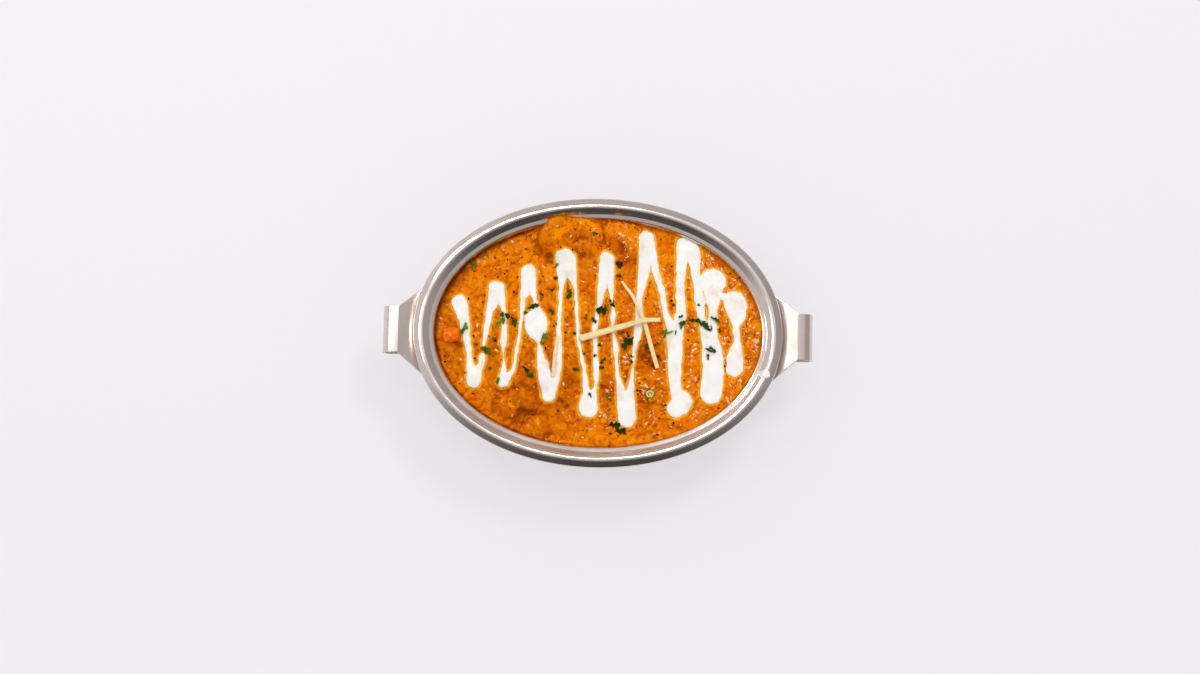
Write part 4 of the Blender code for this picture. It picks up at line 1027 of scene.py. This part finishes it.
HERBS = (  # x, y, length in mm, turn in degrees, how bright: 0 dark leaf, 1 pale stem
    (-68.3, 36.3, 4.9, 100, 0.6), (-46.8, 37.0, 2.7, 30, 0.1), (-27.8, 42.3, 2.2, 80, 0.2),
    (-23.0, 36.6, 3.0, 30, 0.6), (-23.7, 30.0, 2.2, 30, 0.1), (-25.2, 23.3, 2.2, 40, 0.2),
    (-30.9, 21.0, 2.9, -30, 0.1), (-15.9, 21.3, 4.6, 80, 0.3), (-2.4, 54.5, 3.2, 0, 0.2),
    (10.6, 31.6, 3.0, 0, 0.2), (7.3, 16.8, 4.6, -45, 0.0), (2.5, 11.8, 6.4, 15, 0.1),
    (-1.7, 6.8, 3.8, -45, 0.0), (-6.6, 8.9, 2.9, -50, 0.1), (-35.0, 14.3, 5.4, 30, 0.0),
    (-39.6, 10.7, 2.9, 10, 0.1), (-50.2, 9.1, 4.6, -20, 0.1), (-45.7, 5.3, 5.4, -60, 0.0),
    (-54.1, 4.1, 5.2, 70, 0.8), (-50.9, 5.2, 3.8, -70, 0.4), (-55.9, -4.7, 3.2, 0, 0.1),
    (-60.5, -10.3, 5.4, -30, 0.3), (-72.8, 0.9, 5.6, 65, 0.5), (-25.7, 11.2, 3.8, -60, 0.0),
    (-23.4, 4.1, 3.2, 80, 0.1), (-12.7, -0.6, 2.7, -30, 0.2), (-29.6, -3.2, 6.2, 45, 0.7),
    (-7.6, -10.9, 3.2, -60, 0.2), (-58.1, -20.4, 2.2, 0, 0.2), (-52.8, -27.1, 3.6, 80, 0.4),
    (-38.6, -20.2, 4.6, -40, 0.0), (-36.3, -23.5, 4.2, -20, 0.2), (-11.5, -20.2, 3.8, 0, 0.2),
    (-3.3, -34.0, 3.2, -75, 0.0), (-1.3, -12.4, 2.2, -20, 0.1), (6.2, -35.1, 4.3, -60, 0.5),
    (6.8, -41.7, 2.9, 60, 0.4), (10.2, -49.2, 5.4, -30, 0.0), (13.5, -52.4, 5.4, -20, 0.0),
    (16.4, -4.1, 7.2, 25, 0.1), (1.2, -6.3, 2.9, 30, 0.1), (3.4, -15.6, 4.3, 30, 0.1),
    (2.6, -18.9, 2.9, 10, 0.1), (18.8, -12.8, 2.7, 0, 0.2), (18.8, -15.3, 2.2, 10, 0.2),
    (26.8, -6.4, 4.3, 60, 0.3), (31.9, -5.2, 3.2, 50, 0.1), (33.4, -12.5, 2.9, -60, 0.1),
    (25.5, -25.0, 3.2, 20, 0.4), (37.5, 0.7, 4.6, 45, 0.6), (42.1, 1.1, 2.4, -50, 0.1),
    (40.8, 16.4, 1.8, 0, 0.2), (45.0, 9.4, 2.9, 20, 0.1), (45.6, 5.5, 4.6, 60, 0.1),
    (49.4, 8.1, 3.6, 10, 0.2), (52.4, 8.1, 4.2, -30, 0.1), (54.5, 16.4, 1.8, -30, 0.1),
    (57.0, 5.2, 7.4, -75, 0.0), (63.5, 8.6, 4.6, -30, 0.2), (61.4, 3.7, 2.9, 90, 0.3),
    (65.5, 2.6, 3.4, 80, 0.2), (60.5, -7.9, 4.6, 20, 0.1), (62.6, -8.4, 3.4, -40, 0.1),
    (60.0, -12.0, 3.6, 60, 0.1),
)
LEAF_SIDES = 14
LEAF_SHEET = 0.07  # its thickness as a share of its length, so about 0.2 mm
HERB_LIFT = 0.3 * MM


def leaf_cut(name, lobes, deep, narrow, curl):
    """A frilly scrap of leaf, 1 long, as a closed thin sheet."""
    n = LEAF_SIDES
    angle = 2 * math.pi * np.arange(n) / n
    reach = 0.5 * (1 - deep + deep * np.abs(np.cos(lobes * angle / 2 + 0.4)))
    reach *= 1 + 0.12 * np.sin(7 * angle + lobes)
    x, y = np.cos(angle) * reach, np.sin(angle) * reach * narrow
    frill = curl * (0.30 * x * x + 0.16 * np.sin(3 * angle + lobes) * reach + 0.35 * np.abs(y))
    points = [
        (0.0, 0.0, LEAF_SHEET), *zip(x * 0.55, y * 0.55, frill * 0.4 + LEAF_SHEET),
        *zip(x, y, frill + LEAF_SHEET), (0.0, 0.0, 0.0), *zip(x, y, frill),
    ]
    faces = []
    for i in range(n):
        j = (i + 1) % n
        faces += [
            [0, 1 + i, 1 + j], [1 + i, 1 + n + i, 1 + n + j, 1 + j],
            [1 + n + i, 2 + 2 * n + i, 2 + 2 * n + j, 1 + n + j], [2 * n + 1, 2 + 2 * n + j, 2 + 2 * n + i],
        ]
    return new_piece(name, points, faces)


def stem_cut(name):
    """A short slanting cut of stem, 1 long."""
    angle = 2 * math.pi * np.arange(6) / 6
    rings = [
        np.stack([x + 0.05 * np.cos(angle), 0.13 * np.cos(angle) + sag, 0.13 * np.sin(angle) + 0.1], axis=-1)
        for x, sag in ((-0.5, 0.04), (-0.2, -0.01), (0.2, -0.01), (0.5, 0.05))
    ]
    faces = grid_faces(4, 6, wrap=True) + [[5, 4, 3, 2, 1, 0], list(range(18, 24))]
    return new_piece(name, rings, faces)


# The cuts are numbered in the order of their names, and the stem is number 3.
STEM = 3
cuts = bpy.data.collections.new("coriander_cuts")
for cut in (
    leaf_cut("cut_0_lobed", 5, 0.45, 0.8, 0.9),
    leaf_cut("cut_1_narrow", 2, 0.30, 0.32, 0.7),
    leaf_cut("cut_2_torn", 3, 0.55, 0.65, 1.1),
    stem_cut("cut_3_stem"),
):
    bpy.context.scene.collection.objects.unlink(cut)
    cuts.objects.link(cut)

SMALLEST_SCRAP = 1.7  # in mm; a longer place is a heap of cuts, one for each such length
shuffle = random.Random(12)
scraps = []
for x, y, length, turn, bright in HERBS:
    slant = math.radians(turn)
    pieces = max(1, round(length / SMALLEST_SCRAP))
    for k in range(pieces):
        along = ((k + 0.5) / pieces - 0.5) * length * 0.8
        side = shuffle.uniform(-0.22, 0.22) * length * (pieces > 1)
        cx = x + math.cos(slant) * along - math.sin(slant) * side
        cy = y + math.sin(slant) * along + math.cos(slant) * side
        size = length * (1.2 if pieces == 1 else shuffle.uniform(0.52, 0.85))
        kind = STEM if bright > 0.55 and k % 2 == 0 else shuffle.choice((0, 1, 2, 0, 2))
        shade = min(1.0, max(0.0, bright + shuffle.uniform(-0.18, 0.25)))
        size = max(size, SMALLEST_SCRAP)
        scraps.append((cx * MM, cy * MM, size * MM, slant + shuffle.uniform(-0.9, 0.9), kind, shade))
scraps = np.array(scraps)
strewn = new_piece("coriander", np.column_stack([scraps[:, :2], np.zeros(len(scraps))]), [])
for name, kind, values in (
    ("size", "FLOAT", scraps[:, 2]), ("turn", "FLOAT", scraps[:, 3]),
    ("cut", "INT", scraps[:, 4].astype(int)), ("shade", "FLOAT", scraps[:, 5]),
):
    strewn.data.attributes.new(name, kind, "POINT").data.foreach_set("value", values)

# Fresh leaf is dark green and half matt; the stem and the leaf's underside are paler and yellower.
coriander_leaf, tree = new_material("chopped_coriander")
shade_of = add_node(tree, "ShaderNodeAttribute", attribute_name="shade").outputs["Fac"]
leaf = add_node(tree, "ShaderNodeMix", {0: shade_of, 6: "2C4414", 7: "A6B848"}, data_type="RGBA")
place = add_node(tree, "ShaderNodeTexCoord").outputs["Object"]
veins = add_node(tree, "ShaderNodeTexNoise", {"Vector": place, "Scale": 1 / (0.8 * MM), "Detail": 2.0})
shader = add_node(tree, "ShaderNodeBsdfPrincipled", {
    "Base Color": stained(tree, leaf, veins, "4C7020", 0.4, 0.7, 0.6), "Roughness": 0.45, "IOR": 1.4,
    "Specular IOR Level": 0.15,
})
add_node(tree, "ShaderNodeOutputMaterial", {"Surface": shader})


def new_geometry_tree(name, sockets):
    """A Geometry Nodes tree with named inputs, and the node that gives them."""
    tree = bpy.data.node_groups.new(name, "GeometryNodeTree")
    for label, kind in (("Geometry", "Geometry"), *sockets, ("Material", "Material")):
        tree.interface.new_socket(label, in_out="INPUT", socket_type=f"NodeSocket{kind}")
    tree.interface.new_socket("Geometry", in_out="OUTPUT", socket_type="NodeSocketGeometry")
    return tree, add_node(tree, "NodeGroupInput")


def end_geometry_tree(tree, given, laid):
    """What the tree has laid is made real, gets the material and is the tree's result."""
    real = add_node(tree, "GeometryNodeRealizeInstances", {0: laid})
    surface = given.outputs["Material"]
    coloured = add_node(tree, "GeometryNodeSetMaterial", {"Geometry": real, "Material": surface})
    add_node(tree, "NodeGroupOutput", {0: coloured})


def run_geometry_tree(piece, tree, values):
    """Puts the tree on the piece with these inputs and keeps its result as a plain mesh."""
    modifier = piece.modifiers.new(tree.name, "NODES")
    modifier.node_group = tree
    for item in tree.interface.items_tree:
        if item.in_out == "INPUT" and item.name in values:
            modifier[item.identifier] = values[item.name]
    bake_modifiers(piece)


tree, given = new_geometry_tree("strewn_coriander", (
    ("Cuts", "Collection"), ("Sauce", "Object"), ("Cream", "Object"), ("Lift", "Float"),
))
sauce_top = add_node(tree, "GeometryNodeObjectInfo", {"Object": given.outputs["Sauce"]})
cream_top = add_node(tree, "GeometryNodeObjectInfo", {"Object": given.outputs["Cream"]})
food = add_node(tree, "GeometryNodeJoinGeometry", {0: sauce_top.outputs["Geometry"]})
tree.links.new(cream_top.outputs["Geometry"], food.inputs[0])
axes = add_node(tree, "ShaderNodeSeparateXYZ", {0: add_node(tree, "GeometryNodeInputPosition")})
above = add_node(tree, "ShaderNodeCombineXYZ", {0: axes.outputs["X"], 1: axes.outputs["Y"], 2: 0.1})
dropped = add_node(tree, "GeometryNodeRaycast", {
    "Target Geometry": food, "Source Position": above, "Ray Direction": (0.0, 0.0, -1.0), "Ray Length": 0.2,
})
hit_place, hit_normal = dropped.outputs["Hit Position"], dropped.outputs["Hit Normal"]
off_surface = add_node(
    tree, "ShaderNodeVectorMath", {0: hit_normal, "Scale": given.outputs["Lift"]}, operation="SCALE"
)
landed = add_node(tree, "ShaderNodeVectorMath", {0: hit_place, 1: off_surface})
placed = add_node(
    tree, "GeometryNodeSetPosition", {"Geometry": given.outputs["Geometry"], "Position": landed}
)
turned = add_node(tree, "GeometryNodeInputNamedAttribute", {"Name": "turn"})
about_z = add_node(tree, "ShaderNodeCombineXYZ", {2: turned})
as_rotation = add_node(tree, "FunctionNodeEulerToRotation", {0: about_z})
leant = add_node(
    tree, "FunctionNodeAlignRotationToVector", {"Rotation": as_rotation, "Vector": hit_normal}, axis="Z"
)
cut_number = add_node(tree, "GeometryNodeInputNamedAttribute", {"Name": "cut"}, data_type="INT")
cut_size = add_node(tree, "GeometryNodeInputNamedAttribute", {"Name": "size"})
kinds = add_node(tree, "GeometryNodeCollectionInfo", {
    "Collection": given.outputs["Cuts"], "Separate Children": True, "Reset Children": True,
})
laid = add_node(tree, "GeometryNodeInstanceOnPoints", {
    "Points": placed, "Instance": kinds, "Pick Instance": True, "Instance Index": cut_number,
    "Rotation": leant, "Scale": cut_size,
})
end_geometry_tree(tree, given, laid)
run_geometry_tree(strewn, tree, {
    "Cuts": cuts, "Sauce": masala, "Cream": cream, "Lift": HERB_LIFT, "Material": coriander_leaf,
})
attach(strewn, "root")
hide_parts("curry")

# ---------------------------------------------------------------------------------------------------
# Specks: dried leaf, ground chilli and charred onion in the sauce, flakes of 0.5 to 1.7 mm that lie on
# its skin. Geometry Nodes strew one flat flake over all of the sauce that the cream leaves bare.

SPECK_DENSITY = 26000  # for each square metre, before the cream takes its share
SPECK_SEED = 5
SPICE_SHADES = ((0.0, "3C1C0A"), (0.4, "682C0A"), (0.62, "8A3C08"), (0.78, "B8480E"), (0.88, "38421A"))


def flake_shape(way):
    return Vector((way.x * 0.75, way.y * 0.5, way.z * 0.25)) * (1 + 0.35 * noise.noise(way * 1.5))


flake = shaped_ball("flake", 1, flake_shape, smooth=False)

# A speck is one of five colours, from charred brown over chilli red to the green of dried leaf.
dried_spice, tree = new_material("dried_spice_specks")
shade_of = add_node(tree, "ShaderNodeAttribute", attribute_name="shade").outputs["Fac"]
spice_colour = add_node(tree, "ShaderNodeValToRGB", {0: shade_of})
ramp = spice_colour.color_ramp
ramp.interpolation = "CONSTANT"
ramp.elements.remove(ramp.elements[1])
for start, code in SPICE_SHADES:
    stop = ramp.elements.new(start) if start else ramp.elements[0]
    stop.color = linear(code)
shader = add_node(tree, "ShaderNodeBsdfPrincipled", {
    "Base Color": spice_colour, "Roughness": 0.5, "Specular IOR Level": 0.1,
})
add_node(tree, "ShaderNodeOutputMaterial", {"Surface": shader})

strewing, given = new_geometry_tree("strewn_specks", (
    ("Sauce", "Object"), ("Flake", "Object"), ("Where", "String"), ("Density", "Float"), ("Seed", "Int"),
    ("Smallest", "Float"), ("Spread", "Float"),
))
sauce_top = add_node(strewing, "GeometryNodeObjectInfo", {"Object": given.outputs["Sauce"]})
one_flake = add_node(
    strewing, "GeometryNodeObjectInfo", {"Object": given.outputs["Flake"], "As Instance": True}
)
share_here = add_node(strewing, "GeometryNodeInputNamedAttribute", {"Name": given.outputs["Where"]})
density = add_node(
    strewing, "ShaderNodeMath", {0: share_here, 1: given.outputs["Density"]}, operation="MULTIPLY"
)
points = add_node(strewing, "GeometryNodeDistributePointsOnFaces", {
    "Mesh": sauce_top.outputs["Geometry"], "Density": density, "Seed": given.outputs["Seed"],
})
small_or_large = add_node(strewing, "FunctionNodeRandomValue", {2: 0.55, 3: 1.0, "Seed": 3})
mostly_small = add_node(strewing, "ShaderNodeMath", {0: small_or_large, 1: 4.0}, operation="POWER")
scaled = add_node(strewing, "ShaderNodeMath", {
    0: mostly_small, 1: given.outputs["Spread"], 2: given.outputs["Smallest"],
}, operation="MULTIPLY_ADD")
spin = add_node(strewing, "FunctionNodeRandomValue", {3: 2 * math.pi, "Seed": 4})
about_z = add_node(strewing, "ShaderNodeCombineXYZ", {2: spin})
spun = add_node(strewing, "FunctionNodeRotateRotation", {
    "Rotation": points.outputs["Rotation"], "Rotate By": about_z,
}, rotation_space="LOCAL")
laid = add_node(strewing, "GeometryNodeInstanceOnPoints", {
    "Points": points, "Instance": one_flake.outputs["Geometry"], "Rotation": spun, "Scale": scaled,
})
tint = add_node(strewing, "FunctionNodeRandomValue", {"Seed": 6})
tinted = add_node(
    strewing, "GeometryNodeStoreNamedAttribute", {"Geometry": laid, "Name": "shade", "Value": tint},
    domain="INSTANCE",
)
end_geometry_tree(strewing, given, tinted)
specks = new_piece("spice_specks", [(0.0, 0.0, 0.0)], [])
run_geometry_tree(specks, strewing, {
    "Sauce": masala, "Flake": flake, "Where": "bare", "Density": SPECK_DENSITY, "Seed": SPECK_SEED,
    "Smallest": 0.30 * MM, "Spread": 0.85 * MM, "Material": dried_spice,
})
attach(specks, "root")
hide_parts("curry")

# ---------------------------------------------------------------------------------------------------
# Grains: pale bits 0.9 to 2.8 mm long, shaped like onion and cashew that the grinder left whole; their
# pale colour is a painted highlight for the glints on the wet sauce. The same tree strews them, thickest
# at the right, half sunk in the sauce's skin.

GLINT_GRAIN_DENSITY = 150000  # for each square metre, where they lie thickest
GLINT_GRAIN_SEED = 9


def glint_bit_shape(way):
    return Vector((way.x, way.y * 0.45, way.z * 0.3)) * (1 + 0.3 * noise.noise(way * 1.5))


ground_bit = shaped_ball("ground_bit", 2, glint_bit_shape)

# Painted highlights: the grains are whitish, some more orange than others, in place of glints.
glint_grain_colour, tree = new_material("pale_grains_painted_as_glints")
shade_of = add_node(tree, "ShaderNodeAttribute", attribute_name="shade").outputs["Fac"]
shader = add_node(tree, "ShaderNodeBsdfPrincipled", {
    "Base Color": stained(tree, "F4A868", shade_of, "FFE2CC", 0.15, 1.0), "Roughness": 0.2,
    "Specular IOR Level": 0.3,
})
add_node(tree, "ShaderNodeOutputMaterial", {"Surface": shader})
glint_grains = new_piece("onion_grains", [(0.0, 0.0, 0.0)], [])
run_geometry_tree(glint_grains, strewing, {
    "Sauce": masala, "Flake": ground_bit, "Where": "grainy", "Density": GLINT_GRAIN_DENSITY, "Seed": GLINT_GRAIN_SEED,
    "Smallest": 0.34 * MM, "Spread": 1.05 * MM, "Material": glint_grain_colour,
})
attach(glint_grains, "root")
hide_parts("curry")

# ---------------------------------------------------------------------------------------------------
# A ring of green chilli with two seeds, and a charred bit of whole spice, each by itself on the sauce.
# The ring is one slice across a chilli; the spice is a whole pod, a little uneven.

CHILLI_PLACE = (28.8, -32.6)  # x, y in mm, as are the sizes that follow
CHILLI_RADIUS = 1.7
CHILLI_WALL = 0.72  # half its thickness
CHILLI_AROUND, CHILLI_SIDES = 36, 10
CHILLI_SEEDS = ((-0.35, 0.25, 20), (0.4, -0.3, 70))  # x, y in mm, turn in degrees
POD_PLACE = (10.7, 38.2)
POD_HALF = Vector((1.7, 2.5, 0.9))

# The chilli's skin is green, and its flesh and seeds are pale.
chilli_flesh, tree = new_material("green_chilli_flesh")
skin_share = add_node(tree, "ShaderNodeAttribute", attribute_name="skin").outputs["Fac"]
green = add_node(tree, "ShaderNodeMix", {0: skin_share, 6: "E9DE9C", 7: "8FA637"}, data_type="RGBA")
shader = add_node(tree, "ShaderNodeBsdfPrincipled", {"Base Color": green, "Roughness": 0.3})
add_node(tree, "ShaderNodeOutputMaterial", {"Surface": shader})

# The pod is dry and charred, with paler patches where its husk is worn.
charred_spice, tree = new_material("charred_whole_spice")
place = add_node(tree, "ShaderNodeTexCoord").outputs["Object"]
char = add_node(tree, "ShaderNodeTexNoise", {"Vector": place, "Scale": 1 / (0.7 * MM), "Detail": 3.0})
burnt = add_node(tree, "ShaderNodeMix", {0: char, 6: "3A2A22", 7: "6E5040"}, data_type="RGBA")
shader = add_node(tree, "ShaderNodeBsdfPrincipled", {
    "Base Color": burnt, "Roughness": 0.5, "Specular IOR Level": 0.15,
})
add_node(tree, "ShaderNodeOutputMaterial", {"Surface": shader})


def on_sauce(x, y, lift):
    """The place this high over the finished sauce; x, y and lift are in mm and the place in metres."""
    nearest = np.argmin((sauce_x - x * MM) ** 2 + (sauce_y - y * MM) ** 2)
    return np.array((x * MM, y * MM, sauce_z.reshape(-1)[nearest] + lift * MM))


def boxy(value):
    """A cosine or sine that makes a circle squarer."""
    return math.copysign(abs(value) ** 0.6, value)


ring_middle = on_sauce(*CHILLI_PLACE, 0.5)
bm = bmesh.new()
skin = bm.verts.layers.float.new("skin")
loops = []
for i in range(CHILLI_AROUND):
    a = 2 * math.pi * i / CHILLI_AROUND
    wide = CHILLI_RADIUS * (1 + 0.07 * math.sin(2 * a + 1) + 0.04 * math.sin(5 * a))
    loop = []
    for k in range(CHILLI_SIDES):
        b = 2 * math.pi * k / CHILLI_SIDES
        out = wide + CHILLI_WALL * 0.85 * boxy(math.cos(b))
        rise = CHILLI_WALL * boxy(math.sin(b)) + 0.12 * math.sin(a)
        vert = bm.verts.new(ring_middle + np.array((out * math.cos(a), out * math.sin(a), rise)) * MM)
        vert[skin] = max(0.0, math.cos(b)) ** 0.5
        loop.append(vert)
    loops.append(loop)
for i, loop in enumerate(loops):
    after = loops[(i + 1) % CHILLI_AROUND]
    for k in range(CHILLI_SIDES):
        beside = (k + 1) % CHILLI_SIDES
        bm.faces.new((loop[k], after[k], after[beside], loop[beside]))
for x, y, turn in CHILLI_SEEDS:
    made = bmesh.ops.create_uvsphere(bm, u_segments=12, v_segments=7, radius=1.0)
    spin = Matrix.Rotation(math.radians(turn), 3, "Z")
    for vert in made["verts"]:
        local = spin @ Vector((vert.co.x * 0.62, vert.co.y * 0.45, vert.co.z * 0.25))
        vert.co = Vector(ring_middle) + (local + Vector((x, y, 0.1))) * MM
bmesh.ops.recalc_face_normals(bm, faces=bm.faces)
chilli = piece_from_bmesh("chilli_ring", bm, chilli_flesh)
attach(chilli, "root")
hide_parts("curry")

pod_middle = on_sauce(*POD_PLACE, 0.25)


def pod_shape(way):
    ragged = 1 + 0.45 * noise.noise(way * 2.3) + 0.25 * noise.noise(way * 6.1)
    return way * POD_HALF * ragged * MM + Vector(pod_middle)


pod = shaped_ball("spice_pod", 4, pod_shape, charred_spice)
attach(pod, "root")
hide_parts("curry")

# ---------------------------------------------------------------------------------------------------
# The floor, the light and the camera. Two soft lamps light the dish from the left and from behind, and
# three softboxes only make the highlights on what is wet or polished. The room's light is even, but
# polished things show its walls, darkest in front, and a bright patch overhead with a dimmer middle.

# Matt paint, pale and neutral. It glows a little, which makes its shadows as faint as they are.
painted, tree = new_material("pale_painted_table")
shader = add_node(tree, "ShaderNodeBsdfPrincipled", {
    "Base Color": "929093", "Roughness": 0.7, "Emission Color": "FAF8FB", "Emission Strength": 0.615,
})
add_node(tree, "ShaderNodeOutputMaterial", {"Surface": shader})
bm = bmesh.new()
bmesh.ops.create_grid(bm, x_segments=8, y_segments=8, size=3.0)
table = piece_from_bmesh("pale_table", bm, painted, smooth=False)
table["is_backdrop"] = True

ROOM_LIGHT = 0.82
PATCHES = (  # the way to its middle, the cosines from there where it begins and is full, its light
    ((0.02, 0.22, 0.975), 0.87, 0.985, 1.06),
    ((0.0, 0.13, 0.99), 0.985, 0.999, 0.6),
)
world = bpy.data.worlds.new("pale_room")
bpy.context.scene.world = world
world.use_nodes = True
tree = world.node_tree
tree.nodes.clear()
way = add_node(tree, "ShaderNodeTexCoord").outputs["Generated"]
axes = add_node(tree, "ShaderNodeSeparateXYZ", {0: way})
towards_back = add_node(tree, "ShaderNodeMapRange", {
    "Value": axes.outputs["Y"], "From Min": -0.85, "From Max": -0.30, "To Min": 0.20, "To Max": 0.94,
})
towards_left = add_node(tree, "ShaderNodeMapRange", {
    "Value": axes.outputs["X"], "From Min": 0.9, "From Max": -0.9, "To Min": 0.54, "To Max": 0.86,
})
mirrored = add_node(tree, "ShaderNodeMath", {0: towards_back, 1: towards_left}, operation="MULTIPLY")
for middle, start, full, light in PATCHES:
    nearness = add_node(tree, "ShaderNodeVectorMath", {0: way, 1: middle}, operation="DOT_PRODUCT")
    share = add_node(tree, "ShaderNodeMapRange", {"Value": nearness, "From Min": start, "From Max": full})
    mirrored = add_node(tree, "ShaderNodeMix", {0: share, 2: mirrored, 3: light})
for_mirrors = add_node(tree, "ShaderNodeLightPath").outputs["Is Glossy Ray"]
shown = add_node(tree, "ShaderNodeMix", {0: for_mirrors, 2: ROOM_LIGHT, 3: mirrored})
room = add_node(tree, "ShaderNodeBackground", {"Color": "FBFAFC", "Strength": shown})
add_node(tree, "ShaderNodeOutputWorld", {"Surface": room})

LAMPS = (  # name, x, y, z, side in m, power in W, whether it only makes highlights
    ("left_lamp", -0.85, 0.42, 1.20, 0.40, 0.9, False),
    ("back_lamp", 0.55, 0.85, 1.25, 0.35, 4.9, False),
    ("left_softbox", -0.90, 0.16, 1.08, 0.34, 4.0, True),
    ("high_softbox", -0.16, 0.50, 1.37, 0.22, 5.0, True),
    ("far_left_softbox", -0.83, 0.83, 0.86, 0.24, 6.0, True),
)
for name, x, y, z, size, power, highlights_only in LAMPS:
    lamp_data = bpy.data.lights.new(name, "AREA")
    lamp_data.shape = "SQUARE"
    lamp_data.size = size
    lamp_data.energy = power
    lamp_data.color = linear("FFFCF8")[:3]
    lamp = bpy.data.objects.new(name, lamp_data)
    lamp.visible_diffuse = not highlights_only
    lamp.visible_glossy = highlights_only
    stand = Vector((x, y, z))
    lamp.matrix_world = Matrix.Translation(stand) @ (-stand).to_track_quat("-Z", "Y").to_matrix().to_4x4()
    bpy.context.scene.collection.objects.link(lamp)

PHOTO_WIDTH, PHOTO_HEIGHT = 1200, 674
CAMERA_ELEVATION = math.radians(82.5)
CAMERA_ROLL = math.radians(1.15)
CAMERA_DISTANCE = 1.2
PIXEL = 0.5415 * MM  # size of a pixel on the rim's plane
RIM_MIDDLE_PIXEL = (597.9, 332.5)
rim_middle = Vector((0.0, 0.0, DISH_HEIGHT - ROLL_RADIUS))
back = Vector((0.0, -math.cos(CAMERA_ELEVATION), math.sin(CAMERA_ELEVATION)))
upright = Vector((0.0, math.sin(CAMERA_ELEVATION), math.cos(CAMERA_ELEVATION)))
right = Vector((1.0, 0.0, 0.0)) * math.cos(CAMERA_ROLL) + upright * math.sin(CAMERA_ROLL)
up = back.cross(right)
offset_right = (RIM_MIDDLE_PIXEL[0] - PHOTO_WIDTH / 2) * PIXEL
offset_up = (PHOTO_HEIGHT / 2 - RIM_MIDDLE_PIXEL[1]) * PIXEL
place = rim_middle + back * CAMERA_DISTANCE - right * offset_right - up * offset_up
camera_data = bpy.data.cameras.new("camera")
camera_data.sensor_width = 36.0
camera_data.lens = camera_data.sensor_width * CAMERA_DISTANCE / (PIXEL * PHOTO_WIDTH)
camera = bpy.data.objects.new("camera", camera_data)
camera.matrix_world = Matrix((
    (right.x, up.x, back.x, place.x),
    (right.y, up.y, back.y, place.y),
    (right.z, up.z, back.z, place.z),
    (0, 0, 0, 1),
))
bpy.context.scene.collection.objects.link(camera)
bpy.context.scene.camera = camera
shown_as = bpy.context.scene.view_settings
shown_as.view_transform = "Standard"
shown_as.look = "High Contrast"
shown_as.exposure = -0.5

low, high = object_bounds()
